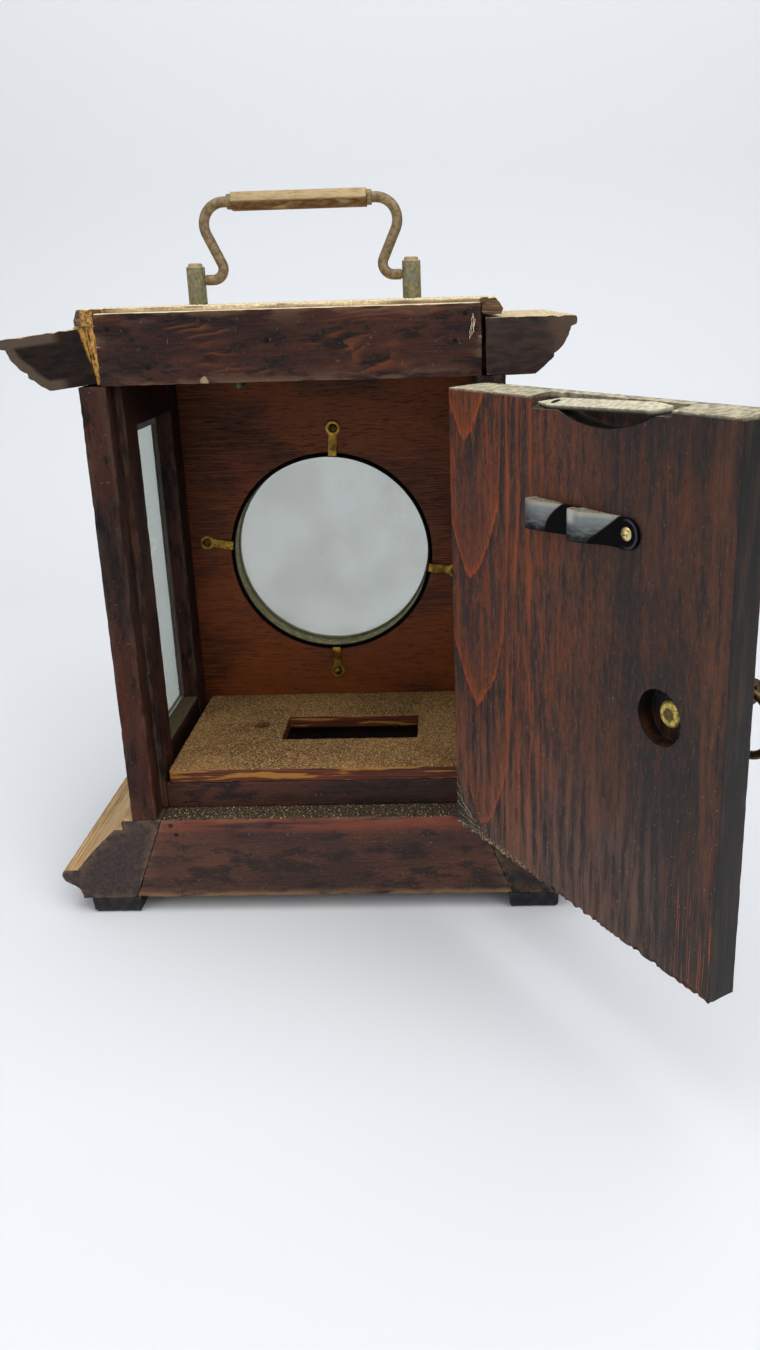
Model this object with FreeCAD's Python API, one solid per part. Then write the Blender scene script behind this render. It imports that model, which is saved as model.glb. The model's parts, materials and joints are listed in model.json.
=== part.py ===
"""Antique wooden table clock case: glazed sides, round front glass, open rear door, brass carrying handle.

The case is drawn about a line up the middle of the post cage, +Z up, dial side towards -Y, rear door at +Y,
and is set down at the end with its origin on the floor under the middle of the whole with its door open.
Left and right are as seen from the dial side, so right is +X.  Millimetres and degrees.
"""
import FreeCAD, Part
import math
import os
from FreeCAD import Vector

# Case body
post_span = 160.0            # across the outer faces of the corner posts
post_depth = 111.0           # front faces to rear faces of the corner posts
post_side = 27.0             # width of a post seen from the side
front_post_wall = 11.4       # thickness of the front posts and of the side rails
rear_post_wall = 12.9        # thickness of the rear posts behind the door stop
foot_height = 7.7
foot_width = 22.0
foot_inset = 22.0            # from the post's outer face out to the foot's outer edge
foot_taper = 1.0
foot_chamfer = 1.5
base_height = 37.5
base_board = 14.0            # thickness of the rear base board
base_seat = 12.5             # how far the base reaches in under the posts
base_toe = 1.8               # slanted inner side at the floor, outside the post face
base_fillet_out = 4.8
base_fillet_height = 4.2
base_ledge = 3.4
base_slope_out = 26.2
base_slope_bulge = 0.5
base_nose_out = 32.2
base_nose_height = 13.9
base_nose_bulge = 2.0
base_cove_out = 31.0
base_cove_height = 7.4
base_cove_depth = 1.2
base_foot_out = 25.4
base_step = 1.0
cornice_height = 20.8
cornice_lap = 7.4            # how far the cornice reaches in over the post tops
cornice_foot_out = 11.0
cornice_slope_out = 17.9
cornice_slope_height = 6.0
cornice_step = 1.4
cornice_ovolo_out = 23.9
cornice_ovolo_height = 9.5
cornice_ovolo_bulge = 1.2
cornice_tip_out = 25.6
cornice_tip_bulge = 0.7
cornice_tip_height = 3.5
droop_angle = 6.5            # the right cornice has come loose and hangs by this much
mitre_gap = 0.5              # opening left at the loose cornice's mitre

# Top
rear_rail_inset = 8.8        # rear rails end this far inside the post faces
rear_rail_thickness = 11.0
lower_rail_height = 14.4
rail_drop = 1.8              # upper rear rail ends below the top board
ceiling_thickness = 11.9
top_board_gap = 0.9          # shadow gap between the cornice and the top board
top_board_height = 6.3
top_board_inset = 0.7        # top board's widest edge inside the post faces
top_board_bevel = 2.4
top_board_bevel_drop = 4.1
top_board_undercut = 0.9

# Side windows
window_bottom = 23.2         # height of the lower side rail
window_height = 139.6
window_top = 18.2            # height of the upper side rail
glass_thickness = 2.9
glass_gap = 0.3
glass_bevel = 4.0
glass_edge = 1.4             # thickness left at the bevelled edge
glazing_lip = 2.0
lip_thickness = 2.7

# Front
panel_thickness = 10.0
panel_recess = 3.0           # panel's front face behind the posts' front faces
dial_radius = 49.1
dial_rise = 91.0             # centre of the dial above the base top
bezel_gap = 0.4
bezel_wall = 1.0
bezel_flange = 6.4
bezel_rise = 4.5
bezel_lip = 0.9              # front lip that the glass rests on
bezel_lip_thickness = 2.0
retainer_width = 1.5
retainer_thickness = 2.0
retainer_rise = 0.8          # retainer stands above the panel's inner face
front_glass_thickness = 2.0

# Glass clips on the front panel
clip_angles = (6.6, 93.7, 189.3, 270.0)
clip_offset = 11.7           # clip screws outside the dial hole
clip_length = 12.9
clip_width = 4.0
clip_eye = 3.4
clip_sheet = 1.0
clip_gap = 0.05
clip_rise = 1.2              # underside of the raised tab above the panel
clip_bend = 7.2              # from the eye to the crank
clip_crank = 2.0
clip_screw = 1.5
screw_play = 0.1
slot_width = 0.6             # screwdriver slots
slot_depth = 0.5

# Floor of the movement bay
floor_height = 17.8          # floor's upper face above the base top
floor_thickness = 6.0
floor_side_gap = 3.3
floor_rail_depth = 9.8
slot_left = -41.0
slot_right = 21.0
slot_rear = 42.0             # from the rear plane
slot_front = 68.0
dimple_x = 32.8
dimple_depth_in = 59.5       # from the rear plane
dimple_radius = 4.0
dimple_deep = 2.2

# Rear door
door_thickness = 10.6
door_open = 123.0
door_stop_gap = 0.4
hinge_gap = 0.4
latch_gap = 1.2
door_bottom_gap = 2.2
door_top_gap = 3.0
door_top_rise = 1.6          # top slopes up towards the outer face
door_worn_corner = 9.0       # top corner at the hinges is worn down over this length
stop_width = 2.35            # door stop left beside the rebate

# Hinges
hinge_low = 42.6             # middle of the lower hinge above the door bottom
hinge_high = 50.7            # middle of the upper hinge below the door top
hinge_length = 28.0
knuckle_radius = 2.0
knuckle_gap = 0.2
hinge_pin = 1.0
pin_play = 0.05
pin_head = 1.5
pin_head_height = 0.5
leaf_sheet = 0.85
leaf_gap = 0.05
leaf_margin = 0.7            # leaf ends short of the door's inner face
hinge_screw_pitch = 16.0
hinge_screw_head = 2.1
hinge_screw_shank = 1.0
hinge_screw_length = 6.0
hinge_screw_point = 1.0

# Catch
catch_start = 50.0           # from the hinge edge of the door
catch_end = 108.5
catch_width = 6.0
catch_sheet = 1.4
catch_tilt = 2.05            # rise along the door, in degrees
catch_lean = 18.0            # fall towards the door's inner face, in degrees
catch_drop = 2.6             # leaf's underside below the door top at its screw
catch_margin = 0.3           # leaf's edge behind the door's inner face
catch_screw_at = 58.0
catch_slot = 7.4
catch_slack = 3.0
catch_taper = 8.0
catch_tip_offset = 1.0       # pointed end lies off the leaf's middle
catch_nose = 1.0             # half width of the blunt end
catch_screw_head = 1.65
pocket_radius = 53.0
pocket_centre = 82.5
pocket_depth = 7.4
pocket_clear = 3.4           # wood left beyond the catch screw
striker_at = 89.45           # from the hinge edge of the shut door
striker_inset = 3.0          # behind the inner face of the shut door
striker_radius = 2.1
striker_length = 2.6
striker_nose = 0.8
striker_tip = 1.3
striker_shank = 1.2
striker_root = 5.0
small_screw_head = 2.2
small_screw_shank = 1.1
small_screw_length = 4.5
screw_head_height = 1.2

# Key clip
key_clip_rise = 138.6        # above the door bottom
key_clip_width = 9.6
key_clip_sheet = 1.0
key_clip_screw_at = 96.2
key_clip_tab_end = 101.3
hump_feet = (52.5, 74.3)     # where each hump leaves the door
hump_ends = (75.0, 91.0)     # where it lies on the door again
hump_rises = (5.2, 5.8)
hump_overhang = 1.9          # a hump leans back over its foot
hump_crest = 4.5             # from the foot to the crest
hump_run = 5.0               # length that lies flat at the end
hump_shoulder = 0.7          # share of the rise where it leans back most
hump_swell = 0.15            # share of the rise by which the bend pulls above and below the crest
hump_points = 12             # points that set out each side of a hump

# Ring pull
pull_at = 111.5              # from the hinge edge
pull_rise = 84.9             # above the door bottom
counterbore_radius = 8.9
counterbore_depth = 6.0
pull_nut_radius = 4.3
pull_nut_height = 2.0
pull_nut_chamfer = 0.8
pull_nut_hollow = 2.1        # radius of the hollow in its face
pull_nut_dimple = 0.8
pull_shank = 2.5
pull_plate_radius = 6.5
pull_plate_height = 2.0
pull_neck_root = 4.0
pull_neck_tip = 2.6
pull_reach = 28.0            # door's outer face to the middle of the eye
pull_eye_radius = 4.4
pull_eye_width = 4.0
pull_eye_bore = 2.0
ring_radius = 10.9
ring_wire = 1.45

# Carrying handle
pillar_half = 44.5
pillar_radius = 3.8
pillar_height = 15.1
pillar_chamfer = 0.35
pillar_button = 2.95
pillar_button_height = 1.3
pillar_button_chamfer = 0.5
pillar_stud = 2.5
stud_play = 0.1
stud_below = 4.5             # stud left below the ceiling board
nut_flats = 8.0
nut_height = 3.2
bail_pivot = 9.7             # above the top board
bail_wire = 2.1
bail_pin = 1.6
bail_pin_depth = 3.0
bail_side_gap = 0.4
bail_foot = 3.0              # straight run beside the pillar
arm_lower_radius = 4.4
arm_upper_radius = 8.6
arm_lean = 25.0
bail_rise = 29.9             # pivot to the middle of the grip
grip_clear = 1.5             # straight bar left outside each collar
grip_flats = 7.1
collar_length = 2.0
collar_radius = 3.0

# Levels and planes worked out from the sizes above
half = post_span / 2
rear_y = post_depth / 2
front_y = -rear_y
base_top = foot_height + base_height
opening_height = window_bottom + window_height + window_top
cage_top = base_top + opening_height     # underside of the cornice and of the rear rails
cornice_top = cage_top + cornice_height
board_bottom = cornice_top + top_board_gap
board_top = board_bottom + top_board_height
stop_y = rear_y - door_thickness - door_stop_gap
rebate_half = half - rear_post_wall + stop_width
inner_half = half - front_post_wall
rear_rail_half = half - rear_rail_inset
panel_front_y = front_y + panel_recess
panel_y = panel_front_y + panel_thickness
floor_top = base_top + floor_height
window_low = base_top + window_bottom
window_high = window_low + window_height
window_half = post_depth / 2 - post_side
hinge_x = -rebate_half + hinge_gap / 2
hinge_y = rear_y + knuckle_radius + knuckle_gap
door_x0 = -rebate_half + hinge_gap
door_x1 = rebate_half - latch_gap
door_z0 = base_top + door_bottom_gap
door_z1 = cage_top - door_top_gap
inner_y = rear_y - door_thickness
leaf_reach = door_thickness - leaf_margin
hinge_heights = (door_z0 + hinge_low, door_z1 - hinge_high)
dial_height = base_top + dial_rise
clip_circle = dial_radius + clip_offset
key_clip_height = door_z0 + key_clip_rise
pull_height = door_z0 + pull_rise
far = 400.0                  # longer than anything in the clock
over = 1.0                   # cuts start this far outside the wood
up = Vector(0, 0, 1)
back = Vector(0, 1, 0)
right = Vector(1, 0, 0)


def box(x0, x1, y0, y1, z0, z1):
    """Block between two corners."""
    return Part.makeBox(x1 - x0, y1 - y0, z1 - z0, Vector(x0, y0, z0))


def rod(radius, start, end):
    """Round bar from one point to another."""
    return Part.makeCylinder(radius, (end - start).Length, start, end - start)


def outline(start, steps):
    """Closed face through points; a step that holds two points is an arc by way of the first."""
    edges = []
    here = start
    for step in list(steps) + [start]:
        if isinstance(step, tuple):
            edges.append(Part.Arc(here, step[0], step[1]).toShape())
            here = step[1]
        else:
            edges.append(Part.LineSegment(here, step).toShape())
            here = step
    return Part.Face(Part.Wire(edges))


def turned(profile, centre, axis):
    """Solid of revolution of (radius, distance along the axis) corners."""
    across = up if abs(axis.dot(up)) < 0.5 else right
    corners = [centre + across * r + axis * d for r, d in profile]
    return outline(corners[0], corners[1:]).revolve(centre, axis, 360)


def mirrored(shape):
    """The same piece on the other side of the clock."""
    return shape.mirror(Vector(0, 0, 0), right)


def round_screw(seat, axis, shank, length):
    """Slotted screw lying along Y; its domed head stands on the seat and its shank runs back from it."""
    ball = (small_screw_head ** 2 + screw_head_height ** 2) / (2 * screw_head_height)
    turn = math.asin(small_screw_head / ball) / 2
    crown = seat + axis * screw_head_height
    dome = (crown + up * ball * math.sin(turn) - axis * ball * (1 - math.cos(turn)), crown)
    tip = seat - axis * length
    half_face = outline(tip, [tip + up * shank, seat + up * shank, seat + up * small_screw_head, dome])
    slot = Part.makeBox(far, slot_depth, slot_width)
    slot.translate(crown - axis * slot_depth / 2 - Vector(far, slot_depth, slot_width) / 2)
    return half_face.revolve(seat, axis, 360).cut(slot)


pieces = {}


def save(name, shape):
    """Keep a finished piece under its name."""
    pieces[name] = shape


# Moulded base and cornice: one section each, run along both sides and the front with mitred corners

def mitred(section, place):
    """Run a moulding section, drawn as (distance out from the post, height), along a side or the front."""
    reach = half - cornice_lap
    if place == "front":
        face = section(lambda p, z: Vector(-far / 2, front_y - p, z))
        run = face.extrude(right * far)
        plan = [(-half - far / 4, front_y - far / 4), (half + far / 4, front_y - far / 4),
                (half - reach / 2, front_y + reach / 2), (-half + reach / 2, front_y + reach / 2)]
    else:
        face = section(lambda p, z: Vector(half + p, rear_y, z))
        run = face.extrude(back * -far)
        plan = [(half + far / 4, front_y - far / 4), (half + far / 4, rear_y),
                (half - reach / 2, rear_y), (half - reach / 2, front_y + reach / 2)]
    corners = [Vector(x, y, 0) for x, y in plan]
    return run.common(outline(corners[0], corners[1:]).extrude(up * far))


def arc(at, start, end, rise):
    """Arc step between two section points, bowed outwards by the rise or inwards if it is negative."""
    run, climb = end[0] - start[0], end[1] - start[1]
    length = math.hypot(run, climb)
    middle = ((start[0] + end[0]) / 2 + climb / length * rise, (start[1] + end[1]) / 2 - run / length * rise)
    return (at(*middle), at(*end))


def base_section(at):
    """Sloping face above a rounded nose, with a cove under it; the inner side is sawn on the slant."""
    step = (base_foot_out, foot_height + base_step)
    cove = (base_cove_out, foot_height + base_cove_height)
    nose = (base_nose_out, foot_height + base_nose_height)
    slope = (base_slope_out, nose[1] + base_step / 2)
    ledge = (base_fillet_out + base_ledge, base_top - base_fillet_height)
    return outline(at(base_toe, foot_height), [
        at(base_foot_out, foot_height), at(*step), arc(at, step, cove, -base_cove_depth),
        arc(at, cove, nose, base_nose_bulge), at(base_slope_out, nose[1]), at(*slope),
        arc(at, slope, ledge, base_slope_bulge), at(base_fillet_out, ledge[1]), at(base_fillet_out, base_top),
        at(-base_seat, base_top)])


def cornice_section(at):
    """Rounded tip over an ovolo, a small step and a plain slope in to the post."""
    slope = (cornice_slope_out, cage_top + cornice_slope_height)
    ovolo = (cornice_slope_out, slope[1] + cornice_step)
    shoulder = (cornice_ovolo_out, ovolo[1] + cornice_ovolo_height)
    tip = (cornice_tip_out, cornice_top - cornice_tip_height)
    return outline(at(-cornice_lap, cage_top), [
        at(cornice_foot_out, cage_top), at(*slope), at(*ovolo),
        arc(at, ovolo, shoulder, cornice_ovolo_bulge), at(*tip),
        arc(at, tip, (cornice_tip_out, cornice_top), cornice_tip_bulge), at(-cornice_lap, cornice_top)])


base_right = mitred(base_section, "side")
base_front = mitred(base_section, "front")
cornice_side = mitred(cornice_section, "side")
cornice_front = mitred(cornice_section, "front")
loose = cornice_side.copy()
loose.translate(back * mitre_gap)
loose = loose.common(box(0, far, front_y - far, rear_y, 0, far))
loose.rotate(Vector(half, 0, cage_top), back, droop_angle)

base_end_top = half - base_seat
base_end_bottom = half + base_toe
board = outline(Vector(-base_end_bottom, rear_y, foot_height), [
    Vector(base_end_bottom, rear_y, foot_height), Vector(base_end_top, rear_y, base_top),
    Vector(-base_end_top, rear_y, base_top)]).extrude(back * -base_board)

save("base_moulding_right", base_right)
save("base_moulding_left", mirrored(base_right))
save("base_moulding_front", base_front)
save("base_rear_board", board)
save("cornice_right", loose)
save("cornice_left", mirrored(cornice_side))
save("cornice_front", cornice_front)


# Feet: small tapered blocks under the base corners

def foot(x, y):
    """Block with drawn-in sides and a chamfered lower edge."""
    rings = []
    for z, inset in ((0, foot_chamfer), (foot_chamfer, foot_taper / 2), (foot_height, 0)):
        reach = foot_width / 2 - inset
        corners = [Vector(x + i * reach, y + j * reach, z) for i, j in ((-1, -1), (1, -1), (1, 1), (-1, 1))]
        rings.append(Part.makePolygon(corners + corners[:1]))
    return Part.makeLoft(rings, True, True)


foot_x = half + foot_inset - foot_width / 2
for end, y in (("rear", rear_y - foot_width / 2), ("front", front_y - foot_inset + foot_width / 2)):
    save("foot_" + end + "_right", foot(foot_x, y))
    save("foot_" + end + "_left", foot(-foot_x, y))


# Hinges: drawn with the door shut; the case leaf stays and the door leaf swings

def hinge_leaf(side, middle):
    """One leaf; side is -1 for the post and 1 for the door, and the door leaf carries the middle knuckle."""
    near = hinge_x + side * leaf_gap
    wall = near + side * leaf_sheet
    x0, x1 = min(near, wall), max(near, wall)
    low, high = middle - hinge_length / 2, middle + hinge_length / 2
    third = hinge_length / 3
    spans = [(low, low + third), (high - third, high)]
    if side > 0:
        spans = [(low + third + knuckle_gap, high - third - knuckle_gap)]
    leaf = box(x0, x1, rear_y - leaf_reach, rear_y, low, high)
    for z0, z1 in spans:
        leaf = leaf.fuse(box(x0, x1, rear_y - knuckle_radius, hinge_y, z0, z1))
        leaf = leaf.fuse(rod(knuckle_radius, Vector(hinge_x, hinge_y, z0), Vector(hinge_x, hinge_y, z1)))
    bore = rod(hinge_pin + pin_play, Vector(hinge_x, hinge_y, 0), Vector(hinge_x, hinge_y, far))
    return leaf.cut(bore).removeSplitter()


def hinge_screws(side):
    """Two countersunk screws in each hinge on one side."""
    face = hinge_x + side * leaf_gap
    screws = []
    for middle in hinge_heights:
        for dz in (-hinge_screw_pitch / 2, hinge_screw_pitch / 2):
            head = Vector(face, rear_y - leaf_reach / 2, middle + dz)
            screws.append(turned([(0, 0), (hinge_screw_head, 0), (hinge_screw_shank, leaf_sheet),
                                  (hinge_screw_shank, hinge_screw_length - hinge_screw_point),
                                  (0, hinge_screw_length)], head, right * side))
    return Part.makeCompound(screws)


def pin_at(middle):
    """Hinge pin with a small head at each end."""
    low = middle - hinge_length / 2 - pin_head_height
    total = hinge_length + 2 * pin_head_height
    return turned([(0, 0), (pin_head, 0), (pin_head, pin_head_height), (hinge_pin, pin_head_height),
                   (hinge_pin, total - pin_head_height), (pin_head, total - pin_head_height),
                   (pin_head, total), (0, total)], Vector(hinge_x, hinge_y, low), up)


case_screws = hinge_screws(-1)
door_screws = hinge_screws(1)
case_leaves = [hinge_leaf(-1, middle) for middle in hinge_heights]
door_leaves = [hinge_leaf(1, middle) for middle in hinge_heights]


def gains(side):
    """Recesses for the hinge leaves in the post or in the door."""
    wall = hinge_x + side * (leaf_gap + leaf_sheet)
    x0, x1 = min(wall, hinge_x), max(wall, hinge_x)
    cuts = [box(x0, x1, rear_y - leaf_reach, rear_y, m - hinge_length / 2, m + hinge_length / 2)
            for m in hinge_heights]
    return Part.makeCompound(cuts)


# Corner posts, side rails and side glass

lip_x = half - lip_thickness
front_post = box(inner_half, half, front_y, front_y + post_side, base_top, cage_top)
front_lip = box(lip_x, half, -window_half, -window_half + glazing_lip, window_low, window_high)
front_post = front_post.fuse(front_lip)
rear_post = box(half - rear_post_wall, half, rear_y - post_side, rear_y, base_top, cage_top)
rear_post = rear_post.cut(box(0, rebate_half, stop_y, rear_y, base_top, cage_top))
rear_lip = box(lip_x, half, window_half - glazing_lip, window_half, window_low, window_high)
rear_post = rear_post.fuse(rear_lip)
hinge_post = mirrored(rear_post).cut(gains(-1)).cut(case_screws)

lip_half = window_half - glazing_lip
lower_rail = box(inner_half, half, -window_half, window_half, base_top, window_low)
lower_rail = lower_rail.fuse(box(lip_x, half, -lip_half, lip_half, window_low, window_low + glazing_lip))
upper_rail = box(inner_half, half, -window_half, window_half, window_high, cage_top)
upper_rail = upper_rail.fuse(box(lip_x, half, -lip_half, lip_half, window_high - glazing_lip, window_high))


def bevelled_pane():
    """Side glass with a ground bevel all round its inner face."""
    rings = []
    for x, inset in ((lip_x, 0), (lip_x - glass_edge, 0), (lip_x - glass_thickness, glass_bevel)):
        y = window_half - glass_gap - inset
        low, high = window_low + inset, window_high - glass_gap - inset
        corners = [Vector(x, -y, low), Vector(x, y, low), Vector(x, y, high), Vector(x, -y, high)]
        rings.append(Part.makePolygon(corners + corners[:1]))
    return Part.makeLoft(rings, True, True)


pane = bevelled_pane()
save("post_front_right", front_post.removeSplitter())
save("post_front_left", mirrored(front_post.removeSplitter()))
save("post_rear_right", rear_post.removeSplitter())
save("post_rear_left", hinge_post.removeSplitter())
for name, piece in (("side_rail_lower", lower_rail), ("side_rail_upper", upper_rail), ("side_glass", pane)):
    save(name + "_right", piece.removeSplitter())
    save(name + "_left", mirrored(piece.removeSplitter()))


# Front panel with its round glass, held from behind by four turning clips

dial_centre = Vector(0, panel_y, dial_height)
bezel_outer = dial_radius - bezel_gap
bezel_inner = bezel_outer - bezel_wall
retainer_y = retainer_rise - retainer_thickness
flange_y = -panel_thickness
bezel_front = flange_y - bezel_rise
glass_y = bezel_front + bezel_lip_thickness
bezel_rim = dial_radius + bezel_flange
bezel = turned([(bezel_inner, retainer_y), (bezel_outer, retainer_y), (bezel_outer, flange_y),
                (bezel_rim, flange_y), (bezel_rim, flange_y - bezel_rise / 3),
                (bezel_rim - bezel_flange / 2, bezel_front), (bezel_inner - bezel_lip, bezel_front),
                (bezel_inner - bezel_lip, glass_y), (bezel_inner, glass_y)], dial_centre, back)
retainer_inner = bezel_outer - retainer_width
retainer = turned([(retainer_inner, retainer_y), (bezel_outer, retainer_y), (bezel_outer, retainer_rise),
                   (retainer_inner, retainer_rise)], dial_centre, back)
front_glass = turned([(0, glass_y), (bezel_inner - glass_gap, glass_y),
                      (bezel_inner - glass_gap, glass_y + front_glass_thickness),
                      (0, glass_y + front_glass_thickness)], dial_centre, back)


def clip_pose(shape, angle):
    """Carry a piece drawn at the top of the dial round to its own angle."""
    placed = shape.copy()
    placed.rotate(dial_centre, back, 90 - angle)
    return placed


def top_clip():
    """Eyelet with a cranked tab that points down at the dial."""
    eye = dial_centre + up * clip_circle
    low, high = clip_gap, clip_gap + clip_sheet
    crank_end = clip_bend + clip_crank
    corners = [(0, low), (clip_bend, low), (crank_end, clip_rise), (clip_length, clip_rise),
               (clip_length, clip_rise + clip_sheet), (crank_end, clip_rise + clip_sheet), (clip_bend, high),
               (0, high)]
    points = [eye + Vector(-clip_width / 2, b, -a) for a, b in corners]
    tab = outline(points[0], points[1:]).extrude(right * clip_width)
    ring = rod(clip_eye, eye + back * low, eye + back * high)
    hole = rod(clip_screw + screw_play, eye, eye + back * far)
    return tab.fuse(ring).cut(hole).removeSplitter()


clip_seat = clip_gap + clip_sheet + clip_gap
top_screw = round_screw(dial_centre + up * clip_circle + back * clip_seat, back, clip_screw,
                        clip_seat + small_screw_length)
clip_screws = Part.makeCompound([clip_pose(top_screw, angle) for angle in clip_angles])
panel = box(-inner_half, inner_half, panel_front_y, panel_y, base_top, cage_top)
panel = panel.cut(rod(dial_radius, dial_centre + back * far, dial_centre - back * far)).cut(clip_screws)
save("front_panel", panel)
save("bezel_ring", bezel)
save("glass_retainer", retainer)
save("front_glass", front_glass)
for name, angle in zip(("right", "top", "left", "bottom"), clip_angles):
    save("glass_clip_" + name, clip_pose(top_clip(), angle))
save("glass_clip_screws", clip_screws)


# Floor of the movement bay on its two rails

floor_low = floor_top - floor_thickness
floor_half = inner_half - floor_side_gap
floor = box(-floor_half, floor_half, panel_y, stop_y, floor_low, floor_top)
floor = floor.cut(box(slot_left, slot_right, rear_y - slot_front, rear_y - slot_rear, 0, far))
dimple_ball = (dimple_radius ** 2 + dimple_deep ** 2) / (2 * dimple_deep)
dimple_at = Vector(dimple_x, rear_y - dimple_depth_in, floor_top - dimple_deep + dimple_ball)
floor = floor.cut(Part.makeSphere(dimple_ball, dimple_at))
stop_half = half - rear_post_wall
rail_front_y = panel_y + floor_rail_depth
save("floor_board", floor)
save("floor_rail_rear", box(-stop_half, stop_half, stop_y - floor_rail_depth, stop_y, base_top, floor_low))
save("floor_rail_front", box(-inner_half, inner_half, panel_y, rail_front_y, base_top, floor_low))


# Rear rails, ceiling and bevelled top board

striker_spot = Vector(door_x0 + striker_at, inner_y + striker_inset, cage_top)
striker = turned([(0, striker_root), (striker_shank, striker_root), (striker_shank, 0), (striker_radius, 0),
                  (striker_radius, striker_nose - striker_length), (striker_tip, -striker_length),
                  (0, -striker_length)], striker_spot, up)
rail_y = rear_y - rear_rail_thickness
rail_joint = cage_top + lower_rail_height
lower_strip = box(-rear_rail_half, rear_rail_half, rail_y, rear_y, cage_top, rail_joint).cut(striker)
upper_strip = box(-rear_rail_half, rear_rail_half, rail_y, rear_y, rail_joint, board_top - rail_drop)

pillars_y = (rear_y + front_y) / 2
stud_bottom = board_bottom - ceiling_thickness - stud_below
ceiling_half = half - cornice_lap
ceiling = box(-ceiling_half, ceiling_half, front_y + cornice_lap, rail_y, board_bottom - ceiling_thickness,
              board_bottom)

edge = half - top_board_inset
bevel_z = board_top - top_board_bevel_drop
across = [(-edge + top_board_undercut, board_bottom), (edge - top_board_undercut, board_bottom),
          (edge, bevel_z), (edge - top_board_bevel, board_top), (-edge + top_board_bevel, board_top),
          (-edge, bevel_z)]
points = [Vector(x, front_y - far, z) for x, z in across]
top_board = outline(points[0], points[1:]).extrude(back * 2 * far)
lead = front_y + top_board_inset
along = [(lead + top_board_undercut, board_bottom), (rear_y, board_bottom), (rear_y, board_top),
         (lead + top_board_bevel, board_top), (lead, bevel_z)]
points = [Vector(-far, y, z) for y, z in along]
top_board = top_board.common(outline(points[0], points[1:]).extrude(right * 2 * far))
top_board = top_board.cut(box(-rear_rail_half, rear_rail_half, rail_y, far, 0, far))

stud_holes = [rod(pillar_stud + stud_play, Vector(x, pillars_y, 0), Vector(x, pillars_y, far))
              for x in (-pillar_half, pillar_half)]
for hole in stud_holes:
    ceiling = ceiling.cut(hole)
    top_board = top_board.cut(hole)
save("rear_rail_lower", lower_strip)
save("rear_rail_upper", upper_strip)
save("catch_striker", striker)
save("ceiling_board", ceiling)
save("top_board", top_board)


# Carrying handle: two turned pillars, a bent wire bail and a six-sided grip

pivot_z = board_top + bail_pivot


def pillar(x):
    """Turned pillar with a button on its end, a cross hole for the bail and a stud through the top."""
    button_top = pillar_height + pillar_button_height
    shape = turned([(0, stud_bottom - board_top), (pillar_stud, stud_bottom - board_top), (pillar_stud, 0),
                    (pillar_radius, 0), (pillar_radius, pillar_height - pillar_chamfer),
                    (pillar_radius - pillar_chamfer, pillar_height), (pillar_button, pillar_height),
                    (pillar_button, button_top - pillar_button_chamfer),
                    (pillar_button - pillar_button_chamfer, button_top), (0, button_top)],
                   Vector(x, pillars_y, board_top), up)
    inward = right * (-1 if x > 0 else 1)
    pin_room = bail_pin_depth + bail_side_gap
    mouth = Vector(x, pillars_y, pivot_z) + inward * (pillar_radius - pin_room)
    return shape.cut(rod(bail_pin + pin_play, mouth, mouth + inward * far))


lean = math.radians(arm_lean)
heading = Vector(math.sin(lean), 0, math.cos(lean))
inward_up = Vector(-math.cos(lean), 0, math.sin(lean))
outward_up = Vector(math.cos(lean), 0, math.sin(lean))
grip_middle = Vector(0, pillars_y, pivot_z + bail_rise)
arm_start = Vector(pillar_half - pillar_radius - bail_side_gap, pillars_y, pivot_z)
foot_end = arm_start - right * bail_foot
low_centre = foot_end + up * arm_lower_radius
low_mid = low_centre - right * arm_lower_radius
low_end = low_centre + inward_up * arm_lower_radius
arm_run = (grip_middle.z - arm_upper_radius * (1 + math.sin(lean)) - low_end.z) / heading.z
top_start = low_end + heading * arm_run
top_centre = top_start + inward_up * arm_upper_radius
top_mid = top_centre + outward_up * arm_upper_radius
top_end = top_centre + up * arm_upper_radius
grip_half = top_end.x - grip_clear - collar_length


def bail():
    """S-shaped arms and the bar through the grip, one round wire."""
    curves = [Part.LineSegment(arm_start, foot_end), Part.Arc(foot_end, low_mid, low_end),
              Part.LineSegment(low_end, top_start), Part.Arc(top_start, top_mid, top_end),
              Part.LineSegment(top_end, grip_middle)]
    path = Part.Wire([curve.toShape() for curve in curves])
    section = Part.Wire(Part.makeCircle(bail_wire, arm_start, right))
    arm = path.makePipeShell([section], True, False)
    arm = arm.fuse(rod(bail_pin, arm_start + right * (bail_side_gap + bail_pin_depth), foot_end))
    return arm.fuse(mirrored(arm)).removeSplitter()


def hexagon(centre, axis_a, axis_b, flats):
    """Six-sided face across two directions."""
    reach = flats / math.sqrt(3)
    turns = [math.radians(60 * k) for k in range(6)]
    corners = [centre + axis_a * reach * math.cos(t) + axis_b * reach * math.sin(t) for t in turns]
    return outline(corners[0], corners[1:])


def nut(x):
    """Nut under the ceiling board."""
    centre = Vector(x, pillars_y, board_bottom - ceiling_thickness - nut_height)
    block = hexagon(centre, right, back, nut_flats).extrude(up * nut_height)
    return block.cut(rod(pillar_stud, centre, centre + up * far))


bar = rod(bail_wire, grip_middle - right * far, grip_middle + right * far)
grip_end = hexagon(grip_middle - right * grip_half, back, up, grip_flats)
grip = grip_end.extrude(right * 2 * grip_half).cut(bar)
collar_at = grip_middle + right * grip_half
collar = rod(collar_radius, collar_at, collar_at + right * collar_length).cut(bar)
save("handle_pillar_right", pillar(pillar_half))
save("handle_pillar_left", pillar(-pillar_half))
save("pillar_nuts", Part.makeCompound([nut(pillar_half), nut(-pillar_half)]))
save("handle_bail", bail())
save("handle_grip", grip)
save("grip_collars", Part.makeCompound([collar, mirrored(collar)]))


# Rear door with its catch, key clip and ring pull, drawn shut and then swung open

def along_door(distance):
    """X of a point measured from the hinge edge of the shut door."""
    return door_x0 + distance


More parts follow.
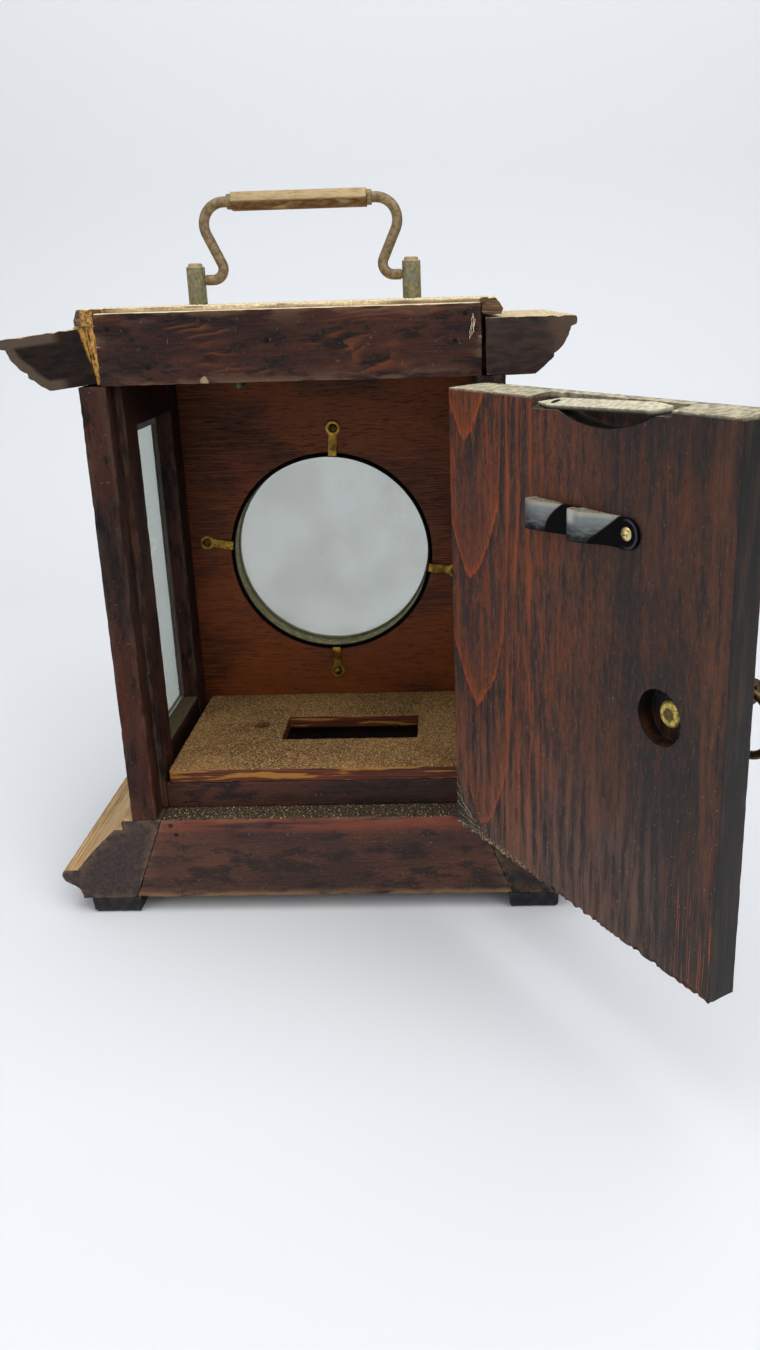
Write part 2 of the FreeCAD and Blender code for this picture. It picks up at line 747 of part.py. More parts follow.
def tilt(shape):
    """Lean and slope of the catch leaf about the foot of its screw."""
    placed = shape.copy()
    placed.rotate(screw_foot, right, catch_lean)
    placed.rotate(screw_foot, back, -catch_tilt)
    return placed


leaf_z = door_z1 - catch_drop
leaf_front = inner_y + catch_margin
leaf_back = leaf_front + catch_width
leaf_middle = (leaf_front + leaf_back) / 2
screw_foot = Vector(along_door(catch_screw_at), leaf_middle, leaf_z)
tip = Vector(along_door(catch_start), leaf_middle - catch_tip_offset, leaf_z)
shoulder = along_door(catch_start + catch_taper)
tail = along_door(catch_end - catch_taper)
nose_mid = Vector(along_door(catch_end - catch_nose), leaf_middle - catch_nose, leaf_z)
nose_end = Vector(along_door(catch_end), leaf_middle + catch_nose, leaf_z)
catch_leaf = outline(tip, [
    Vector(shoulder, leaf_front, leaf_z), Vector(tail, leaf_front, leaf_z), (nose_mid, nose_end),
    Vector(tail, leaf_back, leaf_z), Vector(shoulder, leaf_back, leaf_z)]).extrude(up * catch_sheet)
catch_screw = turned([(0, -small_screw_length), (small_screw_shank, -small_screw_length),
                      (small_screw_shank, 0), (catch_screw_head, catch_sheet), (0, catch_sheet)],
                     screw_foot, up)
catch_leaf = tilt(catch_leaf.cut(catch_screw))
catch_screw = tilt(catch_screw)
seat_cut = box(along_door(catch_start - over), along_door(catch_end + catch_slack), inner_y - over,
               inner_y + catch_slot, 0, far)
seat_cut = seat_cut.common(tilt(box(-far, far, -far, far, leaf_z, leaf_z + far)))
pocket_mid = Vector(along_door(pocket_centre), inner_y - over, door_z1 - pocket_depth + pocket_radius)
pocket_cut = rod(pocket_radius, pocket_mid, pocket_mid + back * (catch_slot + over))
pocket_cut = pocket_cut.common(box(along_door(catch_screw_at + pocket_clear), far, -far, far, 0, far))

pull_x = along_door(pull_at)
pull_axis = Vector(pull_x, rear_y, pull_height)
nut_seat = counterbore_depth - door_thickness
shank_end = nut_seat - pull_nut_height / 2
neck_end = pull_reach - pull_eye_radius / 2
pull_stud = turned([(0, shank_end), (pull_shank, shank_end), (pull_shank, 0), (pull_plate_radius, 0),
                    (pull_plate_radius, pull_plate_height / 2), (pull_neck_root, pull_plate_height),
                    (pull_neck_tip, neck_end), (0, neck_end)], pull_axis, back)
eye_at = pull_axis + back * pull_reach
half_eye = right * pull_eye_width / 2
pull_stud = pull_stud.fuse(rod(pull_eye_radius, eye_at - half_eye, eye_at + half_eye))
pull_stud = pull_stud.cut(rod(pull_eye_bore, eye_at - right * far, eye_at + right * far)).removeSplitter()
nut_face = nut_seat - pull_nut_height
pull_nut = turned([(0, shank_end), (pull_shank, shank_end), (pull_shank, nut_seat),
                   (pull_nut_radius, nut_seat), (pull_nut_radius, nut_face + pull_nut_chamfer),
                   (pull_nut_radius - pull_nut_chamfer, nut_face), (pull_nut_hollow, nut_face),
                   (0, nut_face + pull_nut_dimple)], pull_axis, back)
pull_ring = Part.makeTorus(ring_radius, ring_wire, eye_at - up * ring_radius, back)


def hump(foot, end, rise, low):
    """Bent strip that leans back as it leaves the door and runs down again to lie flat on it."""
    half = key_clip_sheet / 2
    crest = foot + hump_crest
    shoulder, high, fall = rise * hump_shoulder, rise * (1 + hump_swell), rise * (1 - hump_swell)
    bends = ([(foot, 0), (foot - hump_overhang, shoulder), (foot, high), (crest, rise)],
             [(crest, rise), (crest + hump_crest, fall), (end - hump_run, half), (end, half)])
    outer, inner = [], []
    for poles in bends:
        curve = Part.BezierCurve()
        curve.setPoles([Vector(along_door(a), inner_y - b, low) for a, b in poles])
        for k in range(hump_points + 1):
            spot = curve.value(k / hump_points)
            side = curve.tangent(k / hump_points)[0].cross(up) * half
            if k or not outer:
                outer.append(spot + side)
                inner.append(spot - side)
    sides = []
    for points in (outer, inner):
        spline = Part.BSplineCurve()
        spline.interpolate(points)
        sides.append(spline.toShape())
    caps = [Part.makeLine(outer[k], inner[k]) for k in (0, -1)]
    section = Part.Face(Part.Wire([sides[0], caps[1], sides[1], caps[0]]))
    return section.extrude(up * key_clip_width).common(box(-far, far, -far, inner_y, 0, far))


def key_clip():
    """Spring strip with two humps for the winding key and a round-ended tab under its screw."""
    low = key_clip_height - key_clip_width / 2
    first, second = [hump(*sizes, low) for sizes in zip(hump_feet, hump_ends, hump_rises)]
    end_radius = key_clip_width / 2
    tab_middle = along_door(key_clip_tab_end) - end_radius
    flat = box(along_door(hump_ends[1] - key_clip_sheet), tab_middle, inner_y - key_clip_sheet, inner_y, low,
               low + key_clip_width)
    round_end = rod(end_radius, Vector(tab_middle, inner_y - key_clip_sheet, key_clip_height),
                    Vector(tab_middle, inner_y, key_clip_height))
    return first.fuse(second).fuse(flat).fuse(round_end)


key_screw_seat = Vector(along_door(key_clip_screw_at), inner_y - key_clip_sheet, key_clip_height)
key_clip_screw = round_screw(key_screw_seat, -back, small_screw_shank, key_clip_sheet + small_screw_length)
clip_strip = key_clip().cut(key_clip_screw).removeSplitter()

door_crest = door_z1 + door_top_rise
door = outline(Vector(door_x0, inner_y, door_z0), [
    Vector(door_x0, rear_y, door_z0), Vector(door_x0, rear_y, door_crest),
    Vector(door_x0, inner_y, door_z1)]).extrude(right * (door_x1 - door_x0))
corner_wear = outline(Vector(door_x0, inner_y - over, door_z1), [
    Vector(along_door(door_worn_corner), inner_y - over, door_crest),
    Vector(door_x0, inner_y - over, door_crest)]).extrude(back * (door_thickness + 2 * over))
counterbore = rod(counterbore_radius, pull_axis + back * nut_seat, pull_axis - back * far)
shank_hole = rod(pull_shank, pull_axis - back * far, pull_axis + back * far)
cuts = (corner_wear, gains(1), door_screws, seat_cut, pocket_cut, catch_screw, counterbore, shank_hole,
        key_clip_screw)
for cut in cuts:
    door = door.cut(cut)

door_pieces = {"rear_door": door.removeSplitter(), "catch_leaf": catch_leaf, "catch_screw": catch_screw,
               "key_clip": clip_strip, "key_clip_screw": key_clip_screw, "pull_stud": pull_stud,
               "pull_nut": pull_nut, "pull_ring": pull_ring,
               "hinge_leaf_door_lower": door_leaves[0].cut(door_screws),
               "hinge_leaf_door_upper": door_leaves[1].cut(door_screws), "hinge_screws_door": door_screws}
for name, piece in door_pieces.items():
    opened = piece.copy()
    opened.rotate(Vector(hinge_x, hinge_y, 0), up, door_open)
    save(name, opened)

save("hinge_leaf_case_lower", case_leaves[0].cut(case_screws))
save("hinge_leaf_case_upper", case_leaves[1].cut(case_screws))
save("hinge_screws_case", case_screws)
save("hinge_pins", Part.makeCompound([pin_at(middle) for middle in hinge_heights]))


# Set the clock down with its origin under the middle of the whole, one STEP file per piece

os.makedirs("parts", exist_ok=True)
whole = Part.makeCompound(list(pieces.values())).optimalBoundingBox(False)
shift = Vector(-whole.Center.x, -whole.Center.y, -whole.ZMin)
for name, piece in pieces.items():
    placed = piece.copy()
    placed.translate(shift)
    placed.exportStep("parts/" + name + ".step")
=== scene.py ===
import json
import math

import bmesh
import bpy
from mathutils import Matrix, Vector, kdtree, noise

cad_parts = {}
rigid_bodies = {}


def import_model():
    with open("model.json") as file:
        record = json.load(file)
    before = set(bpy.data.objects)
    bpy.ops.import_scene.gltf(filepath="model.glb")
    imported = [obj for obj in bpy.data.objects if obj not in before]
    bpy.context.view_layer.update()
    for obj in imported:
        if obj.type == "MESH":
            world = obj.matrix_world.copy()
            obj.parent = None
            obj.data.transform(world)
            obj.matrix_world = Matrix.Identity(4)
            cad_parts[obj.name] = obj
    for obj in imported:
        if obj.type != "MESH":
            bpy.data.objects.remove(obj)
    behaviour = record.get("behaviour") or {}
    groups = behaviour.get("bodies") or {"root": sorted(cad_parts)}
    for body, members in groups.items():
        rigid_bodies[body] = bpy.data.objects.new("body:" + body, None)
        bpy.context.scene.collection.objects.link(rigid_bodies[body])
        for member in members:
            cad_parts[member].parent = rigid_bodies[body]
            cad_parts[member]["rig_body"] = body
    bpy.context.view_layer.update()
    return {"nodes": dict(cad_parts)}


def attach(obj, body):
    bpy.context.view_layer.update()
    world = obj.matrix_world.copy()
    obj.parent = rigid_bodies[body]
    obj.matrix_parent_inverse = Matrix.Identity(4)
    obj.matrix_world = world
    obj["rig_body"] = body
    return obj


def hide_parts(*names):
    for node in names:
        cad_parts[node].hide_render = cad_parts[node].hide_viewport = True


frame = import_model()


# Corner posts: four upright lengths of stained hardwood, glued and pinned between base and cornice.
# The rear pair is rebated for the door. Handling has rubbed their arrises round and left the dark
# polish thin and blotched, redder low down where the wood shows through.

class Mark:
    """A socket in a material; arithmetic on it adds the Math nodes that work it out."""

    def __init__(self, tree, socket=None):
        self.tree = tree
        self.socket = socket

    def node(self, kind, settings=None, inputs=None, output=0):
        made = self.tree.nodes.new("ShaderNode" + kind)
        for key, value in (settings or {}).items():
            setattr(made, key, value)
        for key, value in (inputs or {}).items():
            if isinstance(value, Mark):
                self.tree.links.new(value.socket, made.inputs[key])
            else:
                made.inputs[key].default_value = tint(value) if isinstance(value, str) else value
        return Mark(self.tree, made.outputs[output] if made.outputs else None)

    def math(self, operation, first, second=0.0):
        return self.node("Math", {"operation": operation}, {0: first, 1: second})

    def __add__(self, other):
        return self.math("ADD", self, other)

    def __radd__(self, other):
        return self.math("ADD", other, self)

    def __sub__(self, other):
        return self.math("SUBTRACT", self, other)

    def __rsub__(self, other):
        return self.math("SUBTRACT", other, self)

    def __mul__(self, other):
        return self.math("MULTIPLY", self, other)

    def __rmul__(self, other):
        return self.math("MULTIPLY", other, self)

    def __truediv__(self, other):
        return self.math("DIVIDE", self, other)

    def __abs__(self):
        return self.math("ABSOLUTE", self)

    def between(self, low, high):
        """0 at low, 1 at high, eased at both ends."""
        return self.node("MapRange", {"interpolation_type": "SMOOTHSTEP"}, {0: self, 1: low, 2: high})

    def outside(self, low, high):
        """1 at low, 0 at high."""
        return 1 - self.between(low, high)

    def mix(self, off, on):
        """Colour between two others by this mask."""
        return self.node("Mix", {"data_type": "RGBA"}, {0: self, 6: off, 7: on}, 2)

    def axes(self):
        """The three parts of a vector."""
        parts = self.node("SeparateXYZ", {}, {0: self}).socket.node
        return [Mark(self.tree, out) for out in parts.outputs]

    def cloud(self, by, seed=0.0, detail=2.0, rough=0.5):
        """Soft noise round 0.5 over this place; by gives its grain along each axis."""
        at = self.node("VectorMath", {"operation": "MULTIPLY_ADD"},
                       {0: self, 1: by, 2: (seed * 7.31, seed * 3.17, seed * 5.43)})
        return self.node("TexNoise", {}, {"Vector": at, "Scale": 1.0, "Detail": detail, "Roughness": rough})

    def away(self, point):
        """Distance of this place from a fixed point."""
        return self.node("VectorMath", {"operation": "DISTANCE"}, {0: self, 1: point}, 1)

    def around(self, point):
        """Distance of this place from a fixed point, seen along the third axis."""
        along, across = self.axes()[:2]
        return self.node("CombineXYZ", {}, {0: along, 1: across}).away(point)


def tint(code):
    """Linear colour of a hex code."""
    parts = [int(code[k:k + 2], 16) / 255 for k in (1, 3, 5)]
    return [p / 12.92 if p <= 0.04045 else ((p + 0.055) / 1.055) ** 2.4 for p in parts] + [1.0]


def coating(name, along=(1, 0, 0), across=(0, 1, 0), origin=(0, 0, 0)):
    """New material and the place on the piece in millimetres: along the grain, across and through it."""
    paint = bpy.data.materials.new(name)
    paint.use_nodes = True
    paint.node_tree.nodes.clear()
    a, b = Vector(along).normalized(), Vector(across).normalized()
    turn = Matrix((a, b, a.cross(b)))
    start = Mark(paint.node_tree)
    place = start.node("TexCoord", {}, {}, "Object")
    shift = -(turn @ Vector(origin)) * 1000
    return paint, start.node("Mapping", {}, {"Vector": place, "Rotation": turn.to_euler(),
                                             "Location": shift, "Scale": (1000, 1000, 1000)})


def laid_on(paint, colour, rough, height=None, relief=0.1, gloss=0.25, **fixed):
    """Close a material: colour, roughness, relief in millimetres; fixed holds other shader values."""
    end = Mark(paint.node_tree)
    inputs = {"Base Color": colour, "Roughness": rough, "Specular IOR Level": gloss}
    if height is not None:
        inputs["Normal"] = end.node("Bump", {}, {"Height": height, "Distance": relief / 1000})
    inputs.update({key.replace("_", " "): value for key, value in fixed.items()})
    end.node("OutputMaterial", {}, {"Surface": end.node("BsdfPrincipled", {}, inputs)})
    return paint


def facing(at):
    """Parts of the surface's own normal."""
    return at.node("NewGeometry", {}, {}, "Normal").axes()


def arris(at):
    """1 on a worn arris, falling to 0 a few millimetres away."""
    return at.node("Attribute", {"attribute_name": "arris"}, {}, "Fac")


def fibres(at, seed, length=22.0, width=0.45):
    """Fine streaks along the grain."""
    return at.cloud((1 / length, 1 / width, 1 / width), seed, 4.0, 0.6)


def old_polish(at, seed, dark, warm, grime):
    """Dark polish gone thin along the grain: warm where wood shows, black with grime, nicked pale."""
    streak = fibres(at, seed)
    thin = at.cloud((0.02, 0.07, 0.07), seed + 0.3, 4.0, 0.6)
    colour = (thin.between(0.38, 0.62) * 0.7 + streak.between(0.42, 0.68) * 0.4).mix(dark, warm)
    dirt = at.cloud((0.06, 0.16, 0.16), seed + 0.5, 5.0, 0.65)
    colour = (dirt.between(0.5, 0.6) * 0.9).mix(colour, grime)
    flecks = at.cloud((0.35, 1.1, 1.1), seed + 0.9, 4.0, 0.7)
    colour = (flecks.between(0.54, 0.66) * 0.45).mix(colour, warm)
    colour = (flecks.outside(0.34, 0.46) * 0.7).mix(colour, grime)
    nicks = at.cloud((0.9, 0.5, 0.5), seed + 0.7, 3.0, 0.6).between(0.66, 0.71)
    colour = (nicks * 0.35).mix(colour, "#8a735c")
    return colour, streak + flecks * 0.8 + dirt * 0.6 - nicks * 0.5


weld = 1e-6


def from_solid(node, turn=Matrix()):
    """The solid's mesh, turned back upright, with its points merged and its flat faces whole."""
    mesh = bmesh.new()
    mesh.from_mesh(frame["nodes"][node].data)
    mesh.transform(turn.inverted())
    bmesh.ops.remove_doubles(mesh, verts=mesh.verts, dist=weld)
    bmesh.ops.dissolve_limit(mesh, angle_limit=0.01, verts=mesh.verts, edges=mesh.edges)
    return mesh


def steep(mesh, angle):
    """Edges where two faces meet at more than an angle."""
    return [e for e in mesh.edges if len(e.link_faces) == 2 and e.calc_face_angle(0) > angle]


def ease(mesh, edges, width):
    """Round edges over a width in millimetres."""
    bmesh.ops.bevel(mesh, geom=edges, offset=width / 1000, offset_type="OFFSET", segments=2, profile=0.5,
                    affect="EDGES", clamp_overlap=True)


def placed(mesh, name, sharp=None):
    """Finished mesh as an object at the origin, shaded smooth below the angle sharp or else flat."""
    data = bpy.data.meshes.new(name)
    mesh.to_mesh(data)
    mesh.free()
    if sharp is not None:
        data.shade_smooth()
        data.set_sharp_from_angle(angle=sharp)
    piece = bpy.data.objects.new(name, data)
    bpy.context.scene.collection.objects.link(piece)
    return piece


def fitted(piece, node, paint):
    """Give a piece its finish and place: it stands for its solid and moves with that solid's body."""
    piece.data.materials.clear()
    piece.data.materials.append(paint)
    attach(piece, frame["nodes"][node]["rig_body"])
    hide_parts(node)


def own_seed(name):
    """Seed that tells the pieces of a set apart."""
    return len(name) + ord(name[-1])


def worn(node, paint, grid=2.5, rub=0.5, chip=0.5, bite=0.1, pitch=2.2, seed=1, where=None,
         joint=None, turn=Matrix()):
    """Wooden piece made from its solid: arrises rubbed round and chipped, cut fine to carry the wear.

    In millimetres, grid is the spacing of the cuts, rub the rounding, chip the deepest chip and pitch the
    chips' length. A larger bite chips more of the arris, where weighs the chips by place, joint is the
    height of a tight joint whose edges stay sharp, and turn is the pose of a piece that stands askew.
    Of the values set below, the first three are in metres: the spacing of the points that mark the
    arrises and the places of the end cuts. The others are in millimetres: how far chips and rubbing
    reach from an arris, and the depth of the slow hollows all over.
    """
    probe = 0.0008
    rim = 0.0009
    border = 0.002
    chip_reach = 1.3
    rub_reach = 2.2
    hollow = 0.06
    mesh = from_solid(node, turn)
    edges = steep(mesh, 0.4)
    if joint is not None:
        edges = [e for e in edges if any(abs(v.co.z * 1000 - joint) > 0.1 for v in e.verts)]
    points = []
    for edge in edges:
        a, b = edge.verts[0].co, edge.verts[1].co
        steps = max(1, int((b - a).length / probe))
        points += [a.lerp(b, k / steps) for k in range(steps + 1)]
    near = kdtree.KDTree(len(points))
    for k, point in enumerate(points):
        near.insert(point, k)
    near.balance()
    ease(mesh, edges, rub)
    for axis, spacing in enumerate(grid if isinstance(grid, tuple) else (grid, grid, grid)):
        low = min(v.co[axis] for v in mesh.verts)
        high = max(v.co[axis] for v in mesh.verts)
        inner = high - low - 2 * border
        count = max(1, round(inner / (spacing / 1000)))
        cuts = [low + rim, low + border, high - border, high - rim]
        cuts += [low + border + inner * k / count for k in range(1, count)]
        normal = Vector([float(k == axis) for k in range(3)])
        for cut in cuts:
            bmesh.ops.bisect_plane(mesh, geom=mesh.verts[:] + mesh.edges[:] + mesh.faces[:], dist=weld,
                                   plane_co=normal * cut, plane_no=normal)
    bmesh.ops.triangulate(mesh, faces=[f for f in mesh.faces if len(f.verts) > 4])
    mesh.normal_update()
    layer = mesh.verts.layers.float.new("arris")
    shift = Vector((seed * 13.7, seed * 7.9, seed * 3.3))
    for vert in mesh.verts:
        gap = near.find(vert.co)[2] * 1000
        spot = vert.co * 1000
        ragged = noise.noise(spot / pitch + shift) + 0.5 * noise.noise(spot * 2.3 / pitch + shift)
        depth = chip * max(0.0, ragged + bite) * math.exp(-(gap / chip_reach) ** 2)
        if where is not None:
            depth *= where(spot)
        depth += hollow * (0.5 + 0.5 * noise.noise(spot * 0.06 + shift))
        vert[layer] = math.exp(-gap / rub_reach)
        vert.co -= vert.normal * depth / 1000
    # A bevel leaves its faces in no fixed order. Crumbs are scattered by that order, so it is set here.
    slant = Vector((1.0, 0.3719, 0.6143))
    mesh.verts.sort(key=lambda vert: vert.co.dot(slant))
    mesh.faces.sort(key=lambda face: face.calc_center_median().dot(slant))
    mesh.transform(turn)
    fitted(placed(mesh, node + "_wood", 0.7), node, paint)


post_paint, at = coating("post_polish", along=(0, 0, 1), across=(1, 0, 0))
colour, relief = old_polish(at, 1, "#150e0d", "#3c1e15", "#0b0808")
red = at.axes()[0].outside(70, 150) * at.cloud((0.03, 0.12, 0.12), 1.2, 3.0).between(0.45, 0.6)
colour = (red * 0.3).mix(colour, "#52200f")
rubbed = arris(at) * at.cloud((0.1, 0.4, 0.4), 1.4, 3.0).between(0.42, 0.6)
colour = (rubbed * 0.3).mix(colour, "#665040")
post_paint = laid_on(post_paint, colour, 0.5 + relief * 0.1, relief, 0.2, 0.15)
for name in ("post_front_left", "post_front_right", "post_rear_left", "post_rear_right"):
    worn(name, post_paint, chip=0.35, seed=own_seed(name))


# Side rails: short lengths tenoned between the posts above and below each side window, with a small
# glazing lip on the outside. Same wood and polish as the posts with the grain lying level, and olive
# dust along the sill.

side_paint, at = coating("side_rail_polish", along=(0, 1, 0), across=(1, 0, 0))
colour, relief = old_polish(at, 5, "#1d1210", "#3b1d15", "#120d0d")
dusty = facing(at)[2].between(0.6, 0.95) * at.cloud((0.5, 0.5, 0.5), 5.2, 3.0).between(0.2, 0.5)
colour = (dusty * 0.8).mix(colour, "#5d563e")
side_paint = laid_on(side_paint, colour, 0.5 + dusty * 0.3, relief + dusty, 0.15, 0.15)
for name in ("side_rail_lower_left", "side_rail_lower_right", "side_rail_upper_left",
             "side_rail_upper_right"):
    worn(name, side_paint, chip=0.35, seed=own_seed(name))


# Side windows: one pane of old glass each side with a ground bevel all round its inner face.
# The glass is clear and faintly green, under a haze of dust with a few specks.

def softened(node, width, paint, angle=0.6, sharp=0.6):
    """Piece made from its solid with every edge steeper than angle eased by width in millimetres."""
    mesh = from_solid(node)
    ease(mesh, steep(mesh, angle), width)
    bmesh.ops.triangulate(mesh, faces=[f for f in mesh.faces if len(f.verts) > 4])
    fitted(placed(mesh, node + "_skin", sharp), node, paint)


def glass_coating(name, hue, film, seed):
    """Clear glass with a film of dust that lies thicker in clouds and specks."""
    paint, at = coating(name)
    haze = at.cloud((0.03, 0.03, 0.03), seed, 4.0).between(0.35, 0.75)
    specks = at.cloud((0.7, 0.7, 0.7), seed + 0.5, 3.0, 0.6).between(0.68, 0.74)
    side, back = facing(at)[:2]
    bevel = side.math("MAXIMUM", abs(side), abs(back)).outside(0.95, 0.985)
    cover = film * (0.85 + haze * 0.3) + specks * 0.25 + bevel * 0.4
    clear = at.node("BsdfPrincipled", {}, {"Base Color": hue, "Roughness": 0.02, "IOR": 1.46,
                                           "Transmission Weight": 1.0})
    dust = at.node("BsdfPrincipled", {}, {"Base Color": "#9da099", "Roughness": 0.9})
    both = at.node("MixShader", {}, {0: cover, 1: clear, 2: dust})
    at.node("OutputMaterial", {}, {"Surface": both})
    return paint


pane_paint = glass_coating("window_glass", "#e6efe8", 0.12, 8)
for name in ("side_glass_left", "side_glass_right"):
    softened(name, 0.08, pane_paint, sharp=0.1)


# Base: moulded lengths along both sides and the front, mitred at the front corners, closed at the
# back by a board with slanted ends. Dark polish; the sides' slopes are rubbed to bare tan wood, one
# end is grey with dirt and the other still black.

case_middle = 22.74
rear_plane = 0.01007


def base_side_coating(name, seed, end_dark, end_light):
    """Side moulding: polish on the mouldings, bare slope, its own colour on the sawn end."""
    paint, at = coating(name, along=(0, 1, 0), across=(0, 0, 1))
    colour, relief = old_polish(at, seed, "#2a1c18", "#4b2d20", "#171211")
    streak = fibres(at, seed + 0.2, 35.0, 0.7)
    back, up = facing(at)[1:]
    outer = abs(at.axes()[2] - case_middle).between(79.5, 80.5)
    bare = outer * up.between(0.25, 0.5)
    bare = bare * at.cloud((0.03, 0.2, 0.2), seed + 0.4, 4.0).between(0.2, 0.38)
    colour = (bare * 0.95).mix(colour, streak.between(0.38, 0.66).mix("#96744a", "#c4a678"))
    sawn = back.between(0.7, 0.9)
    grit = at.cloud((0.6, 0.6, 0.6), seed + 0.6, 5.0, 0.7)
    colour = sawn.mix(colour, grit.between(0.35, 0.7).mix(end_dark, end_light))
    rust = sawn * at.cloud((0.1, 0.1, 0.1), seed + 0.7, 4.0).between(0.54, 0.66)
    colour = (rust * 0.4).mix(colour, "#4f2f1c")
    rubbed = arris(at) * at.cloud((0.1, 0.3, 0.3), seed + 0.8, 3.0).between(0.42, 0.6)
    colour = (rubbed * 0.4).mix(colour, "#80654a")
    return laid_on(paint, colour, 0.5 + bare * 0.25, relief + grit * sawn, 0.15)


base_right_paint = base_side_coating("base_right_polish", 11, "#2a201f", "#40322f")
base_left_paint = base_side_coating("base_left_polish", 12, "#191615", "#211c1a")

base_front_paint, at = coating("base_front_polish", along=(1, 0, 0), across=(0, 0, 1))
colour, relief = old_polish(at, 13, "#2d1d19", "#552f22", "#191312")
rubbed = arris(at) * at.cloud((0.1, 0.3, 0.3), 13.2, 3.0).between(0.42, 0.6)
colour = (rubbed * 0.4).mix(colour, "#80654a")
base_front_paint = laid_on(base_front_paint, colour, 0.45 + relief * 0.1, relief, 0.12)

base_nails = [(86.4, 42.6, 0), (84.4, 38.1, 0)]
base_rear_paint, at = coating("base_rear_polish", (1, 0, 0), (0, 0, 1), (0, rear_plane, 0))
colour, relief = old_polish(at, 14, "#2f1f1b", "#533023", "#211816")
height = at.axes()[1]
up = facing(at)[2]
band = height.between(37.0, 42.0) * at.cloud((0.025, 0.25, 0.25), 14.1, 4.0).between(0.34, 0.56)
colour = (band * 0.7).mix(colour, "#7a3b29")
foot = height.outside(8.2, 11.5) * at.cloud((0.08, 0.3, 0.3), 14.2, 3.0).between(0.36, 0.56)
colour = (foot * 0.6).mix(colour, "#8b6c4c")
grit = at.cloud((0.9, 0.9, 0.9), 14.3, 4.0, 0.75)
ledge = up.between(0.5, 0.85)
colour = (ledge * 0.95).mix(colour, grit.between(0.42, 0.6).mix("#14110c", "#50473a"))
strewn = grit.between(0.62, 0.7) * at.cloud((0.04, 0.08, 0.08), 14.4).between(0.42, 0.6)
colour = (strewn * 0.5).mix(colour, "#8a7050")
for nail in base_nails:
    colour = at.away(nail).outside(0.8, 1.2).mix(colour, "#060404")
rubbed = arris(at) * at.cloud((0.1, 0.4, 0.4), 14.5, 3.0).between(0.45, 0.6)
colour = (rubbed * 0.35).mix(colour, "#7d5f46")
relief = relief + grit * (ledge + 0.3)
base_rear_paint = laid_on(base_rear_paint, colour, 0.5 + ledge * 0.4, relief, 0.16)

for name, paint, grid, chip, seed in (("base_moulding_right", base_right_paint, 3.0, 0.6, 3),
                                      ("base_moulding_left", base_left_paint, 3.0, 0.4, 4),
                                      ("base_moulding_front", base_front_paint, 3.0, 0.5, 5),
                                      ("base_rear_board", base_rear_paint, 2.5, 0.6, 6)):
    worn(name, paint, grid=grid, chip=chip, seed=seed)


# Feet: four small square blocks of hardwood, glued under the corners of the base.
# They are stained black and scuffed grey along their edges.

foot_paint, at = coating("foot_stain")
scuff = at.cloud((0.3, 0.3, 0.3), 21, 4.0)
colour = scuff.between(0.3, 0.7).mix("#0f0e10", "#1b191b")
colour = (arris(at) * scuff.between(0.45, 0.65) * 0.5).mix(colour, "#3a3433")
foot_paint = laid_on(foot_paint, colour, 0.35 + scuff * 0.3, scuff, 0.15)
for name in ("foot_front_left", "foot_front_right", "foot_rear_left", "foot_rear_right"):
    worn(name, foot_paint, grid=2.0, chip=0.4, seed=own_seed(name))


# Front panel: a board of reddish hardwood behind the front posts, bare inside and polished in front.
# Fine level grain with short dark pores; a round hole takes the glass and its rings.

panel_paint, at = coating("panel_hardwood", along=(1, 0, 0), across=(0, 0, 1))
streak = fibres(at, 22, 16.0, 0.5)
pores = at.cloud((0.2, 2.6, 2.6), 23, 2.0).between(0.58, 0.68)
along, height = at.axes()[:2]
# Painted shade: the panel's random tone is painted darker towards the top and darker still beside the post
# at high x.
panel_tone_and_shade = at.cloud((0.02, 0.035, 0.035), 24, 3.0)
panel_tone_and_shade = panel_tone_and_shade + height.outside(70, 130) * 0.06 - along.between(60, 95) * 0.18
colour = panel_tone_and_shade.between(0.38, 0.64).mix("#381606", "#6b320e")
colour = (streak.between(0.38, 0.68) * 0.55).mix(colour, "#7d4117")
colour = (pores * 0.7).mix(colour, "#210d06")
front = facing(at)[1].outside(-0.8, -0.5)
colour = (front * 0.6).mix(colour, "#2a130c")
panel_paint = laid_on(panel_paint, colour, 0.5 + pores * 0.25 - front * 0.2, streak - pores, 0.1)
worn("front_panel", panel_paint, grid=4.0, rub=0.3, chip=0.15, seed=8)


# Glass and its rings: a turned brass bezel in the panel's hole holds the round glass against its front
# lip, and a thin black ring keeps it home from behind. The glass is hazy with dust.

def metal(name, bright, dull, tarnish, spread=0.5, rough=0.3, seed=30):
    """Old metal: bright where it is rubbed, dull between, with a dry tarnish over part of it."""
    paint, at = coating(name)
    rub = at.cloud((0.35, 0.35, 0.35), seed, 4.0)
    start = 0.66 - 0.3 * spread
    stain = at.cloud((0.9, 0.9, 0.9), seed + 1, 5.0, 0.65).between(start, start + 0.18)
    colour = rub.between(0.35, 0.65).mix(dull, bright)
    colour = stain.mix(colour, tarnish)
    return laid_on(paint, colour, rough + rub * 0.15 + stain * 0.3, rub - stain * 0.4, 0.05, 0.3,
                   Metallic=1.0 - stain * 0.75)


bezel_paint = metal("bezel_brass", "#b5ab7c", "#8a8157", "#5d573c", 0.5, 0.4, 36)
black_paint = metal("ring_black", "#0e0d0d", "#080707", "#1a1614", 0.4, 0.45, 33)
front_glass_paint = glass_coating("dial_glass", "#e2e5e0", 0.26, 9)
softened("bezel_ring", 0.2, bezel_paint)
softened("front_glass", 0.1, front_glass_paint, sharp=0.1)
softened("glass_retainer", 0.2, black_paint)


# Glass clips: four cranked tabs of sheet brass round the panel's hole. Each turns on a slotted brass
# screw and its toe holds the ring and the glass in.

